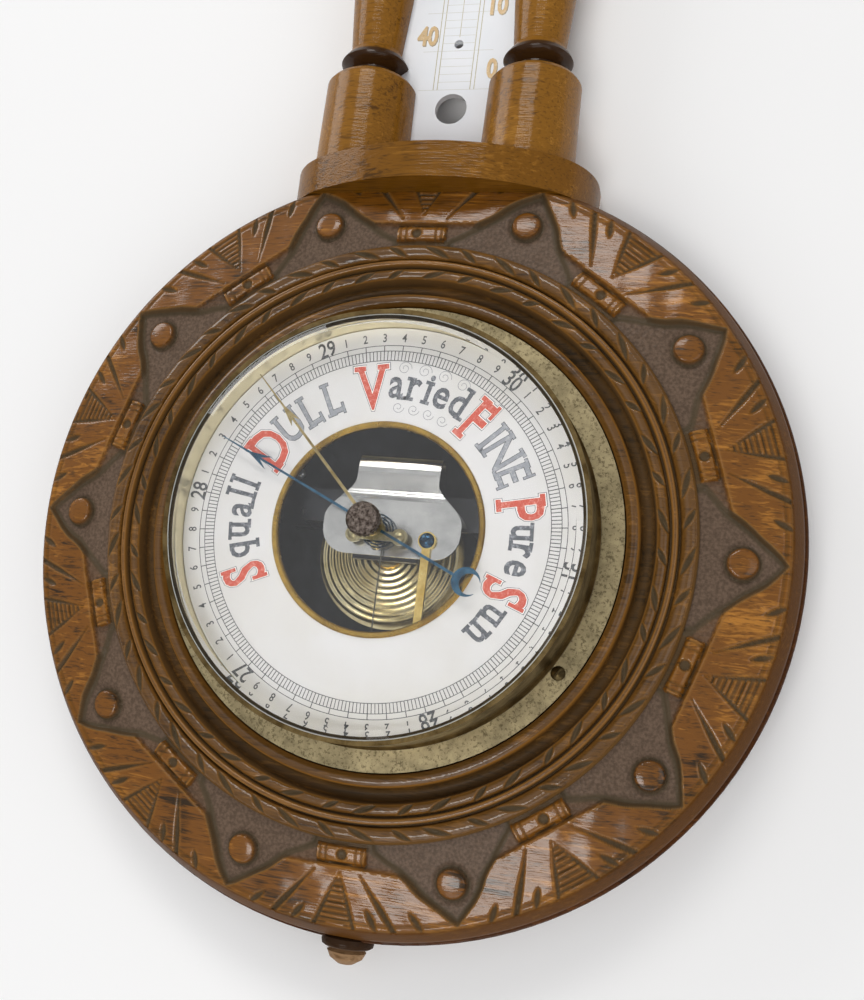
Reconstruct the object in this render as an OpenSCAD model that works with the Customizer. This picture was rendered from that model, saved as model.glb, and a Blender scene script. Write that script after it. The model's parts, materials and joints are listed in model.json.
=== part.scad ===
// Banjo barometer: a carved wooden head with an aneroid movement under a bevelled glass, and above it
// a thermometer plate held between two turned columns.
// The origin lies on the dial axis in the plane of the wall. +Z is up and the dial faces -Y.
// Sizes are in millimetres. A height ending in _h is measured from the wall towards the viewer.

/* [Back board] */
// Radius of the round back board
board_r = 143.6; // [138:0.2:150]
// Thickness of the back board
board_t = 22; // [20:0.5:26]
// Wood left behind the movement
board_floor = 5; // [3:0.5:7]
// Rounding of the back board's front edge
board_round = 2.4; // [1:0.2:4]
// Depth of the flat across the top that carries the lower plinth
flat_cut = 13.6; // [10:0.2:17]

/* [Carved ring] */
// Step from the back board's edge in to the carved ring
ring_step = 1.6; // [0.5:0.1:3]
// Thickness of the carved ring at its inner fillet
ring_t = 15.2; // [13:0.2:18]
// Width of the sloping side outside the fans
rim_w = 4.6; // [3:0.2:6]
// Fall of the fans from the inner fillet to the rim
fan_drop = 5; // [3:0.2:7]
// Number of fans, and of sunk triangles between them
fan_count = 10; // [8:1:10]
// Depth of the sunk triangles
sunk_depth = 3; // [2:0.1:4]
// Half width of a sunk triangle at its base
sunk_half = 25; // [20:0.5:26]
// Half width of a sunk triangle's blunt tip
sunk_tip = 1; // [0.6:0.1:2]
// Radius of the button in each sunk triangle
button_r = 5; // [4:0.1:6]
// Radius of the barrel bead at the inner end of each fan
barrel_r = 2.3; // [1.6:0.1:2.8]
// Length of the barrel bead
barrel_len = 14; // [10:0.5:15]
// Depth of the long cuts in each fan
cut_depth = 1.4; // [0.8:0.1:2]
// Angle of a long cut from the middle of its fan
cut_splay = 20; // [14:1:26]

/* [Turned mouldings] */
// Radius of the outer nicked bead's section
bead_a_r = 3; // [2.4:0.1:3.2]
// Radius of the raised line between the beads
line_r = 1.1; // [0.7:0.1:1.4]
// Radius of the inner nicked bead's section
bead_b_r = 2.3; // [1.8:0.1:2.5]
// Width of the deep cove
cove_w = 4.9; // [4:0.1:5.4]
// Depth of the deep cove
cove_depth = 7; // [5:0.2:9]
// Radius of the plain bead beside the brass flange
bead_c_r = 2.45; // [2:0.05:2.5]

/* [Aneroid case] */
// Outside radius of the brass drum
drum_r = 73.6; // [72:0.2:75]
// Wall of the brass drum
drum_t = 1; // [0.8:0.1:1.3]
// Thickness of the drum's floor
drum_floor = 1.2; // [1:0.1:1.6]
// Width of the flange outside the drum
flange_w = 10.4; // [9.8:0.1:11]
// Thickness of the flange
flange_t = 1.2; // [1:0.1:1.5]
// Rise of the dial's face above the flange
dial_rise = 9.5; // [8:0.5:11]
// Rise of the glass's front above the dial's face
glass_rise = 14; // [13:0.5:16]
// Thickness of the glass
glass_t = 3; // [2.5:0.1:3.5]
// Width of the glass's bevel
bevel_w = 4.2; // [3:0.2:6]
// Thickness of the glass at its edge
glass_edge_t = 1.4; // [1:0.1:1.8]
// Thickness of the bezel's wall beside the drum
bezel_t = 1.25; // [1:0.05:1.5]
// Number of screws through the flange
flange_screw_count = 3; // [2:1:4]
// Radius of the flange screws' heads
flange_head_r = 2.5; // [2:0.1:2.6]
// Clockwise angle of the first flange screw from the top
flange_screw_turn = 122.5; // [100:0.5:140]

/* [Dial and hands] */
// Thickness of the dial
dial_t = 1.5; // [1:0.1:2]
// Radius of the dial's open middle
dial_hole_r = 37.4; // [36:0.2:39]
// Width of the brass ring round the open middle
hole_ring_w = 1.3; // [1.2:0.1:2.2]
// Clockwise turn of the dial in its case
dial_turn = 7.3; // [0:0.1:10]
// Degrees of dial to one inch of mercury
inch_deg = 60; // [50:1:60]
// Pressure at the top of the dial, in inches of mercury
top_inch = 29.5; // [29:0.1:30]
// Pressure that the blued hand shows, in inches of mercury
shown_inch = 28.3; // [28:0.05:29]
// Pressure that the set hand marks, in inches of mercury
marked_inch = 28.66; // [28:0.02:29.4]
// Distance of the blued hand's tip from the dial's edge
hand_short = 5.9; // [4.5:0.1:10]
// Distance of the crescent from the axis
crescent_in = 38; // [34:0.5:42]
// Height of the blued hand above the dial
hand_rise = 3.6; // [3:0.1:4]
// Distance of the set hand's tip from the dial's edge
set_hand_short = 3; // [2.4:0.2:8]
// Thickness of both hands
hand_t = 0.6; // [0.4:0.1:0.8]
// Radius of the set knob
knob_r = 5.85; // [5:0.05:7]
// Height of the set knob
knob_len = 6; // [5:0.5:8]
// Radius of the set hand's spindle through the glass
spindle_r = 3; // [2.6:0.1:3.4]

/* [Movement] */
// Radius of the movement's base plate
base_r = 58; // [57:0.5:62]
// Thickness of the base plate
base_t = 2.5; // [2:0.1:3]
// Radius of the corrugated capsule
capsule_r = 27.5; // [26:0.1:28]
// Height of the capsule above the base plate
capsule_len = 12.4; // [11:0.2:13.4]
// Spacing of the capsule's rings
ring_pitch = 2.3; // [2:0.1:2.8]
// Rise of the capsule's rings
ring_rise = 0.8; // [0.5:0.1:1]
// Height of the bridge above the base plate
bridge_len = 19.3; // [18:0.1:20]
// Thickness of the bridge
bridge_t = 3; // [2.5:0.1:3.4]
// Distance of the bridge's legs from the middle
bridge_half = 33; // [32:0.5:36]
// Thickness of the main spring
spring_t = 0.9; // [0.7:0.05:1.1]
// Height of the main spring's front leaf above the bridge
leaf_rise = 10.5; // [10:0.1:11]
// Half width of the main spring's lobes
lobe_half = 25; // [23:0.5:26]
// Half width of the main spring's neck
neck_half = 15; // [13:0.5:17]
// Thickness of the lever
lever_t = 1.4; // [1.2:0.1:1.5]
// Distance of the rocker shaft below the dial axis
rocker_drop = 46; // [45:0.5:47]
// Length of the rocker's short arm
short_arm = 6; // [5.4:0.2:6.4]
// Radius of the chain drum on the centre arbor
chain_drum_r = 1.25; // [1:0.05:1.3]
// Radius of the chain
chain_r = 0.25; // [0.2:0.05:0.35]
// Radius of the centre arbor
arbor_r = 0.9; // [0.8:0.05:1]
// Turns of the hairspring
hair_turns = 4; // [3:1:4]
// Spacing of the hairspring's turns
hair_pitch = 1.05; // [1:0.01:1.1]
// Thickness of the hairspring's wire
hair_wire = 0.5; // [0.4:0.05:0.5]
// Radius of the adjusting screw at the back
adjust_r = 3; // [2.5:0.1:3.5]
// Radius of the hole for a screwdriver behind the adjusting screw
access_r = 6; // [5:0.5:8]

/* [Columns and plate] */
// Length of the columns between the plinths
column_len = 208; // [190:1:230]
// Distance of a column's axis from the middle
column_x = 32.4; // [31:0.2:34]
// Radius of a column's drum at its foot
foot_r = 18.2; // [17:0.2:18.8]
// Height of a column's lower drum
foot_len = 35; // [32:0.5:38]
// Height of a column's upper drum
cap_len = 24; // [20:0.5:30]
// Radius of the collar above and below a column's shaft
collar_r = 13.4; // [12:0.2:14.5]
// Radius of a column's shaft beside its collars
shaft_r = 10; // [9.6:0.1:11]
// Radius of a column's shaft at its middle
belly_r = 13.2; // [11.5:0.1:14]
// Radius of a column's tenons
tenon_r = 6; // [5:0.2:7]
// Length of a column's tenons
tenon_len = 9; // [7:0.5:10]
// Half width of the plinths
plinth_half = 59.5; // [57:0.5:62]
// Depth of the plinths from back to front
plinth_depth = 45; // [43:0.5:50]
// Thickness of the lower plinth
plinth_t = 13.5; // [12.5:0.5:16]
// Thickness of the upper plinth
cornice_t = 12.5; // [12:0.5:16]
// Width of the thermometer plate
plate_w = 48; // [46:0.5:50]
// Thickness of the thermometer plate
plate_t = 3; // [2.5:0.1:3.5]
// Radius of the thermometer bulb's hole
bulb_r = 6.25; // [5:0.25:7]
// Height of the bulb's hole above the lower plinth
bulb_z = 28.5; // [22:0.5:32]
// Radius of the hole for the tube's wire
wire_r = 1.8; // [1:0.1:2.2]
// Height of the wire hole above the bulb's hole
wire_z = 27; // [20:0.5:34]

/* [Crest, finial and hanger] */
// Width of the crest
crest_w = 112; // [104:1:118]
// Height of the crest
crest_len = 70; // [64:1:80]
// Thickness of the crest
crest_t = 20; // [16:0.5:24]
// Depth of the crest's cuts
crest_cut = 1.6; // [1:0.1:2.2]
// Radius of the drop finial's collar
finial_r = 9.6; // [8:0.2:11]
// Length of the drop finial below the case
finial_len = 10; // [8:0.5:14]
// Thickness of the hanger plate
hanger_t = 2; // [1.5:0.1:3]
// Width of the hanger plate
hanger_w = 24; // [20:0.5:30]
// Radius of the hanging hole
hang_r = 4; // [3:0.1:5]

/* [Hidden] */
$fn = 96;

// Colours
walnut = "#7b4a22";
walnut_dark = "#4d2a17";
brass = "#b59a55";
old_brass = "#8a8058";
steel = "#c9ccce";
blued = "#2f4f7a";
japan = "#24262a";
porcelain = "#f3f3f0";
opal = "#e8ecf2";
clear_glass = [0.85, 0.9, 0.92, 0.35];

// Clearances
fit = 0.05;
free = 0.3;
air = 0.4;
over = 5;

// Back board
board_chamfer = 3;
flat_z = board_r - flat_cut;

// Turned mouldings, from the brass flange outwards
flange_r = drum_r + flange_w;
rebate_r = flange_r + free;
bead_c_at = rebate_r + bead_c_r;
cove_at = bead_c_at + bead_c_r + cove_w / 2;
bead_b_at = cove_at + cove_w / 2 + bead_b_r;
line_at = bead_b_at + bead_b_r + line_r + 0.5;
bead_a_at = line_at + line_r + bead_a_r + 0.6;
bead_a_rise = 1;
line_rise = 1.4;
bead_b_rise = 0.6;
bead_c_rise = 0.2;

// Carved ring
fillet_r = bead_a_at + bead_a_r + 0.2;
fillet_h = board_t + ring_t;
rim_h = fillet_h - fan_drop;
rim_foot = 2.4;
rim_round = 0.7;
ring_r = board_r - ring_step;
fan_r = ring_r - rim_w;
fan_w = fan_r - fillet_r;
fan_slope = atan2(fan_drop, fan_w);
fan_step = 360 / fan_count;
ring_ground_h = fillet_h - 1.7;
sunk_len = fan_w / cos(fan_slope) - 1.6;
button_in = fan_w / 2;
barrel_sink = 0.6;
cut_in = fan_w / 5;
cut_x = 1.5;
hatch_half = fan_w / 8;
hatch_in = fan_w / 3.2;
hatch_depth = 0.8;

// Aneroid case
flange_seat_h = ring_ground_h - flange_t;
flange_h = flange_seat_h + flange_t;
bore_r = drum_r + 1.6;
drum_h = board_floor + 1;
base_h = drum_h + drum_floor;
dial_h = flange_h + dial_rise;
glass_h = dial_h + glass_rise;
glass_seat_h = glass_h - glass_t;
drum_top_h = glass_seat_h - 1;
drum_in_r = drum_r - drum_t;
glass_r = drum_r + fit + 0.35;
bezel_r = drum_r + fit + bezel_t;
flare = 1.3;
flare_r = 4;
ledge_w = 3;
ledge_t = 1.8;
flange_screw_at = bezel_r + flare + flange_head_r + 0.1;
flange_screw_r = 1.5;
flange_screw_len = 11;
flange_head_t = flange_head_r * 0.6;
lip_t = 0.5;
lip_w = 0.7;
lip_gap = 0.35;

// Dial and hands
dial_r = drum_in_r - fit * 4;
hand_len = dial_r - hand_short;
hand_point = 17;
hand_half = 0.5;
set_hand_len = dial_r - set_hand_short;
set_hand_point = 21;
set_hand_half = 0.6;
hand_h = dial_h + hand_rise;
hand_turn = dial_turn + inch_deg * (shown_inch - top_inch);
set_turn = dial_turn + inch_deg * (marked_inch - top_inch);
set_hand_h = glass_seat_h - 3;
spindle_collar_r = spindle_r + 1.6;
spindle_collar_t = 1.3;
hand_boss_r = 2.4;
hand_boss_t = 1.2;
knob_h = glass_h + 0.2;

// Movement
base_top_h = base_h + base_t;
capsule_x = -1;
capsule_y = -5;
capsule_top_h = base_top_h + capsule_len;
bridge_h = base_top_h + bridge_len - bridge_t;
bridge_top_h = bridge_h + bridge_t;
leaf_h = bridge_top_h + leaf_rise - spring_t;
leaf_top_h = leaf_h + spring_t;
bend_front_h = leaf_top_h - 1.8;
bend_r = (bend_front_h - bridge_top_h) / 2;
bend_y = 24;
fold_y = 13;
leaf_end = -8.6;
spring_x = 3.8;
beam_lo = 4;
beam_hi = 16;
beam_mid = (beam_lo + beam_hi) / 2;
tongue_half = 12;
leg_t = 3;
foot_pad = 9;
foot_pad_t = 2.5;
pillar_x = 8.3;
pillar_y = -2.2;
pillar_r = 1.6;
cock_h = leaf_top_h + 3.3;
cock_t = 1.2;
cock_eye_r = 2.9;
cock_screw_r = 1;
cock_screw_len = 6;
hair_h = cock_h - air - hair_wire / 2;
hair_in = 2.2;
hair_rings = 24;
drum_lo_h = leaf_top_h + 0.6;
chain_h = drum_lo_h + 0.7;
chain_x = chain_drum_r + chain_r + free;
rocker_h = chain_h - 14.6;
rocker_r = 1.5;
rocker_pivot_r = 0.8;
rocker_lo = -11;
rocker_hi = 24;
bracket_t = 2;
bracket_w = 8;
arm_t = 2;
lever_x = 17.5;
lever_y = -2.1;
lever_end = -rocker_drop - short_arm;
lever_top_h = leaf_top_h + lever_t;
lever_screw_r = 1.4;
lever_head_r = 2.7;
lever_head_t = 1.5;
lever_eye_r = 3.2;
lever_half = 1.5;
lever_tip_r = 1.3;
link_r = 0.7;
link_pin_r = 0.6;
link_eye_r = 2;
link_eye_t = 1.2;
link_play = 0.45;
link_side = 1.5;
post_r = 1.5;
knife_r = 0.6;
knife_len = 4.4;
adjust_y = -20;
small_screw_r = 1.2;
small_head_r = 2.2;
small_head_t = 1.4;
spring_screw_x = 8;
base_screw_at = base_r - 8;
base_screw_count = 3;
base_screw_turn = 60;

// Columns and plate
column_y = -foot_r - 0.4;
plinth_top = flat_z + plinth_t;
cornice_z = plinth_top + column_len;
crest_z = cornice_z + cornice_t;
plate_y = column_y + 3;
neck_r = 9.3;
shoulder_len = 3;
neck_len = 3;
collar_len = 9.5;
front_r = 90;
corner_r = 30;
groove_gap = 0.2;
plinth_back = 1;
tenon_gap = 0.5;
drum_taper = 0.6;
shoulder_r = shoulder_len * 1.5;
collar_nose = 0.4;
shaft_steps = 16;

// Crest, finial and hanger
crest_back = 3;
arch_r = 40;
arch_z = crest_len - arch_r;
ear_r = 12;
crest_button_r = 9;
crest_button_t = 2.4;
crest_fan = 72;
crest_fan_step = 18;
crest_line_in = 5;
crest_line_w = 1.6;
crest_line_depth = 1.2;
finial_h = board_t / 2 + 3;
finial_tenon_r = 3.6;
finial_tenon_len = 10;
finial_seat = board_r - 1;
hanger_rise = 16;
hanger_sink = 26;
hanger_round = 9;
hanger_top = crest_z + crest_len + hanger_rise;
hang_z = hanger_top - hanger_round;
hanger_low = crest_z + crest_len - hanger_sink;
hanger_screw_z = [hanger_low + hanger_w / 4, hanger_low + hanger_w * 0.7];
hanger_screw_len = 13;
hanger_slot = 0.6;

// Turns a shape drawn in the dial's plane, with its height along Z, to face the viewer
module facing() {
    rotate([90, 0, 0]) children();
}

// Repeats a shape round the dial axis, clockwise from a first angle
module around(count, first = 0) {
    for (i = [0 : count - 1])
        rotate([0, 0, -first - i * 360 / count]) children();
}

// Moves to the inner end of a fan, with Y outwards along its slope and Z square to its face
module on_fan() {
    translate([0, fillet_r, fillet_h]) rotate([-fan_slope, 0, 0]) children();
}

// Turns a profile drawn in the plane of Y and height into a slab along X
module slab(width) {
    rotate([90, 0, 90]) linear_extrude(width, center = true) children();
}

// Screw with a slotted round head that stands on height 0
module slotted_screw(head_r, head_len, shank_r, shank_len) {
    difference() {
        union() {
            rotate_extrude() intersection() {
                translate([0, head_len - dome_r(head_r, head_len)]) circle(dome_r(head_r, head_len));
                square([head_r, head_len]);
            }
            translate([0, 0, -shank_len]) cylinder(r = shank_r, h = shank_len + head_len / 4);
        }
        translate([-head_r, -head_r / 8, head_len * 0.6]) cube([2 * head_r, head_r / 4, head_len]);
    }
}

// Radius of the ball that a domed screw head is part of
function dome_r(r, len) = (r * r + len * len) / (2 * len) * 1.15;

// Cuts at the edge of the round case: the flat under the plinth and the seat of the finial
module edge_cuts() {
    translate([-board_r, flat_z, -over]) cube([2 * board_r, board_r, glass_h]);
    translate([0, -finial_seat, finial_h]) rotate([90, 0, 0]) cylinder(r = finial_r + free, h = over);
}

module case_back() {
    color(walnut_dark) facing() difference() {
        rotate_extrude() difference() {
            union() {
                polygon([[0, 0], [board_r - board_chamfer, 0], [board_r, board_chamfer],
                    [board_r, board_t - board_round], [board_r - board_round, board_t], [0, board_t]]);
                translate([board_r - board_round, board_t - board_round]) circle(board_round);
            }
            translate([0, board_floor]) square([bore_r, board_t]);
        }
        edge_cuts();
        translate([0, adjust_y, -over]) cylinder(r = access_r, h = board_floor + 2 * over);
        translate([0, -finial_seat + finial_tenon_len + 1, finial_h]) rotate([90, 0, 0])
            cylinder(r = finial_tenon_r + fit, h = finial_tenon_len + over);
    }
}

// Section of the carved ring before its carving
module ring_section() {
    difference() {
        union() {
            polygon([[bore_r, board_t], [ring_r, board_t], [ring_r, board_t + rim_foot],
                [fan_r + rim_round, rim_h - rim_round], [fan_r, rim_h], [fillet_r, fillet_h],
                [fillet_r - rim_round, ring_ground_h], [bore_r, ring_ground_h]]);
            translate([bead_a_at, fillet_h + bead_a_rise - bead_a_r]) circle(bead_a_r);
            translate([line_at, fillet_h + line_rise - line_r]) circle(line_r);
            translate([line_at - line_r, board_t]) square([2 * line_r, ring_t + line_rise - line_r]);
            translate([bead_b_at, fillet_h + bead_b_rise - bead_b_r]) circle(bead_b_r);
            translate([bead_c_at, fillet_h + bead_c_rise - bead_c_r]) circle(bead_c_r);
        }
        translate([cove_at - cove_w / 2, fillet_h - cove_depth + cove_w / 2])
            square([cove_w, cove_depth]);
        translate([cove_at, fillet_h - cove_depth + cove_w / 2]) circle(cove_w / 2);
        translate([0, flange_seat_h]) square([rebate_r, ring_t]);
    }
}

// Outline of a sunk triangle round its button, blunt tip outwards
module sunk_outline() {
    difference() {
        polygon([[-sunk_half, 0], [sunk_half, 0], [sunk_tip, sunk_len], [-sunk_tip, sunk_len]]);
        translate([0, button_in]) circle(button_r);
    }
}

// One straight gouge cut with a V section, along Y on a face at height 0
module v_cut(len, depth) {
    translate([0, len / 2, 0]) rotate([0, 45, 0])
        cube([depth * sqrt(2), len, depth * sqrt(2)], center = true);
}

module carved_surround() {
    color(walnut) facing() difference() {
        union() {
            rotate_extrude() ring_section();
            around(fan_count) on_fan() translate([0, barrel_r + barrel_sink, -barrel_sink])
                rotate([0, 90, 0])
                cylinder(r = barrel_r, h = barrel_len, center = true);
        }
        around(fan_count, fan_step / 2) on_fan()
            translate([0, 0, -sunk_depth]) linear_extrude(sunk_depth + over) sunk_outline();
        around(fan_count) on_fan() {
            for (s = [-1, 1])
                translate([s * cut_x, cut_in, 0]) rotate([0, 0, -s * cut_splay]) v_cut(fan_w, cut_depth);
            translate([0, 0, -hatch_depth]) linear_extrude(over)
                polygon([[0, hatch_in], [-hatch_half, fan_w + 2], [hatch_half, fan_w + 2]]);
        }
        edge_cuts();
        around(flange_screw_count, flange_screw_turn)
            translate([0, flange_screw_at, flange_seat_h - flange_screw_len])
                cylinder(r = flange_screw_r + fit, h = flange_screw_len + over);
    }
}

// Plan of a plinth: a bowed front with rounded corners and a straight back
module plinth_plan() {
    centre_y = front_r - plinth_depth - plinth_back;
    corner_x = plinth_half - corner_r;
    reach = front_r - corner_r;
    corner_y = centre_y - sqrt(reach * reach - corner_x * corner_x);
    intersection() {
        translate([0, centre_y]) circle(front_r);
        polygon([[0, centre_y], [-corner_x * 2, 2 * corner_y - centre_y],
            [corner_x * 2, 2 * corner_y - centre_y]]);
        translate([-plinth_half, -2 * plinth_depth])
            square([2 * plinth_half, 2 * plinth_depth - plinth_back]);
    }
    for (s = [-1, 1])
        translate([s * corner_x, corner_y]) circle(corner_r);
    translate([-plinth_half, corner_y]) square([2 * plinth_half, -plinth_back - corner_y]);
}

// Plinth with blind holes for the columns' tenons in the face that the columns meet
module plinth(z, thickness, tenon_z) {
    difference() {
        translate([0, 0, z]) linear_extrude(thickness) intersection() {
            plinth_plan();
            translate([-board_r, -board_r]) square([2 * board_r, board_r - plinth_back]);
        }
        for (s = [-1, 1])
            translate([s * column_x, column_y, tenon_z])
                cylinder(r = tenon_r + fit, h = tenon_len + 2 * tenon_gap);
    }
}

module lower_plinth() {
    color(walnut) plinth(flat_z, plinth_t, plinth_top - tenon_len - tenon_gap);
}

module upper_plinth() {
    color(walnut) plinth(cornice_z, cornice_t, cornice_z - tenon_gap);
}

// Half section of a drum with a rounded shoulder, a neck and a collar, from its flat end upwards
module drum_section(len) {
    top = len + shoulder_len;
    shoulder_in = foot_r - drum_taper - shoulder_r;
    collar_lo = top + neck_len;
    nose = collar_lo + collar_len * 0.46;
    polygon([[0, 0], [foot_r, 0], [foot_r - drum_taper, len], [0, len]]);
    intersection() {
        translate([shoulder_in, top - shoulder_r]) circle(shoulder_r);
        translate([0, len - drum_taper]) square([foot_r, shoulder_len + drum_taper]);
    }
    square([shoulder_in, top]);
    polygon([[0, len], [neck_r, len], [neck_r, collar_lo + 2 * collar_nose],
        [collar_r - collar_nose, nose - 2 * collar_nose],
        [collar_r, nose], [collar_r - collar_nose, nose + 2 * collar_nose],
        [shaft_r, collar_lo + collar_len], [0, collar_lo + collar_len]]);
}

// Turned column standing on the lower plinth
module column(side) {
    lower = foot_len + shoulder_len + neck_len + collar_len;
    upper = column_len - cap_len - shoulder_len - neck_len - collar_len;
    shaft = [for (i = [0 : shaft_steps])
        [shaft_r + (belly_r - shaft_r) * sin(180 * i / shaft_steps),
            lower + (upper - lower) * i / shaft_steps]];
    difference() {
        translate([side * column_x, column_y, plinth_top]) rotate_extrude() {
            drum_section(foot_len);
            polygon(concat([[0, lower]], shaft, [[0, upper]]));
            translate([0, column_len]) mirror([0, 1]) drum_section(cap_len);
            translate([0, -tenon_len]) square([tenon_r, column_len + 2 * tenon_len]);
        }
        translate([-plate_w / 2 - groove_gap, plate_y - plate_t / 2 - groove_gap, plinth_top])
            cube([plate_w + 2 * groove_gap, plate_t + 2 * groove_gap, column_len]);
    }
}

module left_column() {
    color(walnut) column(-1);
}

module right_column() {
    color(walnut) column(1);
}

module thermometer_plate() {
    color(opal) difference() {
        translate([-plate_w / 2, plate_y - plate_t / 2, plinth_top])
            cube([plate_w, plate_t, column_len - groove_gap]);
        translate([0, plate_y, plinth_top + bulb_z]) rotate([90, 0, 0])
            cylinder(r = bulb_r, h = plate_t + over, center = true);
        translate([0, plate_y, plinth_top + bulb_z + wire_z]) rotate([90, 0, 0])
            cylinder(r = wire_r, h = plate_t + over, center = true);
    }
}

// Outline of the crest above the upper plinth: an arch between two round ears
module crest_outline() {
    difference() {
        union() {
            translate([0, arch_z]) circle(arch_r);
            translate([-crest_w / 2, 0]) square([crest_w, ear_r]);
            for (s = [-1, 1])
                translate([s * (crest_w / 2 - ear_r), ear_r]) circle(ear_r);
        }
        translate([-crest_w, -2 * arch_r]) square([2 * crest_w, 2 * arch_r]);
    }
}

module crest() {
    color(walnut) translate([0, -crest_back, crest_z]) facing() difference() {
        union() {
            difference() {
                linear_extrude(crest_t) crest_outline();
                for (a = [-crest_fan : crest_fan_step : crest_fan])
                    translate([0, arch_z, crest_t]) rotate([0, 0, a])
                        translate([0, crest_button_r * 4 / 3, 0])
                        v_cut(arch_r, crest_cut);
                translate([0, arch_z, crest_t - crest_line_depth]) difference() {
                    cylinder(r = arch_r - crest_line_in, h = over);
                    translate([0, 0, -1])
                        cylinder(r = arch_r - crest_line_in - crest_line_w, h = 2 * over);
                    translate([-arch_r, -arch_r - 1, -1]) cube([2 * arch_r, arch_r, 2 * over]);
                }
            }
            translate([0, arch_z, 0]) cylinder(r = crest_button_r, h = crest_t + crest_button_t);
            for (s = [-1, 1])
                translate([s * (crest_w / 2 - ear_r), ear_r, 0])
                    cylinder(r = button_r, h = crest_t + crest_button_t);
        }
        translate([-hanger_w / 2 - free, hanger_low - crest_z - free, -over])
            cube([hanger_w + 2 * free, crest_len, over + hanger_t - crest_back + fit]);
        for (z = hanger_screw_z)
            translate([0, z - crest_z, -over])
                cylinder(r = small_screw_r + fit, h = over + hanger_screw_len);
    }
}

module drop_finial() {
    color(walnut_dark) translate([0, -finial_h, -finial_seat]) rotate_extrude()
        polygon([[0, finial_tenon_len], [finial_tenon_r, finial_tenon_len], [finial_tenon_r, 0],
            [finial_r - 1.2, 0], [finial_r - 0.3, -0.6], [finial_r, -2], [finial_r - 0.3, -3.4],
            [finial_r - 1.2, -4], [finial_r * 0.55, -4], [finial_r * 0.74, -5.6],
            [finial_r * 0.62, 2 - finial_len], [finial_r * 0.3, -finial_len], [0, -finial_len]]);
}

module hanger_plate() {
    color(brass) facing() difference() {
        union() {
            translate([-hanger_w / 2, hanger_low, 0]) cube([hanger_w, hang_z - hanger_low, hanger_t]);
            translate([0, hang_z, 0]) cylinder(r = hanger_top - hang_z, h = hanger_t);
        }
        translate([0, hang_z, -over]) cylinder(r = hang_r, h = 2 * over);
        for (z = hanger_screw_z)
            translate([0, z, -over]) cylinder(r = small_screw_r + fit, h = 2 * over);
    }
}

module hanger_screws() {
    color(brass) for (z = hanger_screw_z)
        translate([0, 0, z]) rotate([-90, 0, 0])
            difference() {
                translate([0, 0, -hanger_screw_len]) cylinder(r = small_screw_r, h = hanger_screw_len);
                translate([-over, -hanger_slot / 2, -hanger_slot]) cube([2 * over, hanger_slot, over]);
            }
}

module drum_case() {
    color(old_brass) facing() difference() {
        rotate_extrude() {
            translate([0, drum_h]) square([drum_r, drum_floor]);
            translate([drum_in_r, drum_h]) square([drum_t, drum_top_h - drum_h]);
            translate([drum_in_r, flange_seat_h]) square([flange_r - drum_in_r, flange_t]);
            translate([drum_in_r - ledge_w, dial_h - dial_t - ledge_t])
                square([ledge_w + drum_t / 2, ledge_t]);
        }
        around(flange_screw_count, flange_screw_turn)
            translate([0, flange_screw_at, flange_seat_h - over])
                cylinder(r = flange_screw_r + fit, h = 2 * over);
        around(base_screw_count, base_screw_turn) translate([0, base_screw_at, drum_h - over])
            cylinder(r = small_screw_r + fit, h = 2 * over);
        translate([0, adjust_y, drum_h - over]) cylinder(r = adjust_r + fit, h = 2 * over);
    }
}

module flange_screws() {
    color(brass) facing() around(flange_screw_count, flange_screw_turn)
        translate([0, flange_screw_at, flange_h])
            slotted_screw(flange_head_r, flange_head_t, flange_screw_r, flange_screw_len - 1);
}

module bezel() {
    lip_h = glass_seat_h + glass_edge_t + lip_gap;
    color(brass) facing() rotate_extrude() difference() {
        union() {
            translate([drum_r + fit, flange_h]) square([bezel_t, lip_h + lip_t - flange_h]);
            translate([drum_in_r - 1, drum_top_h + fit]) square([bezel_t + 2, 1 - fit]);
            translate([drum_r + fit, flange_h]) square([bezel_t + flare, flare_r]);
            translate([glass_r - lip_w, lip_h]) square([bezel_r - glass_r + lip_w, lip_t]);
        }
        translate([bezel_r + flare_r, flange_h + flare_r + 0.4]) circle(flare_r);
        translate([0, glass_seat_h]) square([glass_r + fit, lip_h - glass_seat_h]);
    }
}

module glass() {
    color(clear_glass) facing() rotate_extrude()
        polygon([[spindle_r + fit, glass_seat_h], [glass_r, glass_seat_h],
            [glass_r, glass_seat_h + glass_edge_t], [glass_r - bevel_w, glass_h],
                [spindle_r + fit, glass_h]]);
}

module dial() {
    color(porcelain) facing() rotate_extrude()
        translate([dial_hole_r, dial_h - dial_t]) square([dial_r - dial_hole_r, dial_t]);
}

module hole_ring() {
    ring_in = dial_hole_r - hole_ring_w;
    lip_r = dial_hole_r + 0.9;
    color(brass) facing() rotate_extrude()
        polygon([[ring_in, dial_h - dial_t], [dial_hole_r - fit, dial_h - dial_t],
            [dial_hole_r - fit, dial_h],
            [lip_r, dial_h], [lip_r, dial_h + 0.3], [lip_r - 0.5, dial_h + 0.8],
            [ring_in + 0.5, dial_h + 0.8], [ring_in, dial_h + 0.3]]);
}

module set_knob() {
    grips = 24;
    color(walnut_dark) facing() translate([0, 0, knob_h]) difference() {
        rotate_extrude() {
            square([knob_r * 0.62, knob_len]);
            translate([0, knob_len * 0.3]) square([knob_r, knob_len * 0.5]);
            translate([0, knob_len * 0.8]) polygon([[0, 0], [knob_r, 0], [knob_r * 0.86, knob_len * 0.2],
                [0, knob_len * 0.2]]);
        }
        translate([0, 0, -over]) cylinder(r = spindle_r + fit / 2, h = over + knob_len / 2);
        around(grips) translate([0, knob_r + 0.25, knob_len * 0.3 - 0.1])
            cylinder(r = 0.6, h = knob_len * 0.5 + 0.2);
    }
}

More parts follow.
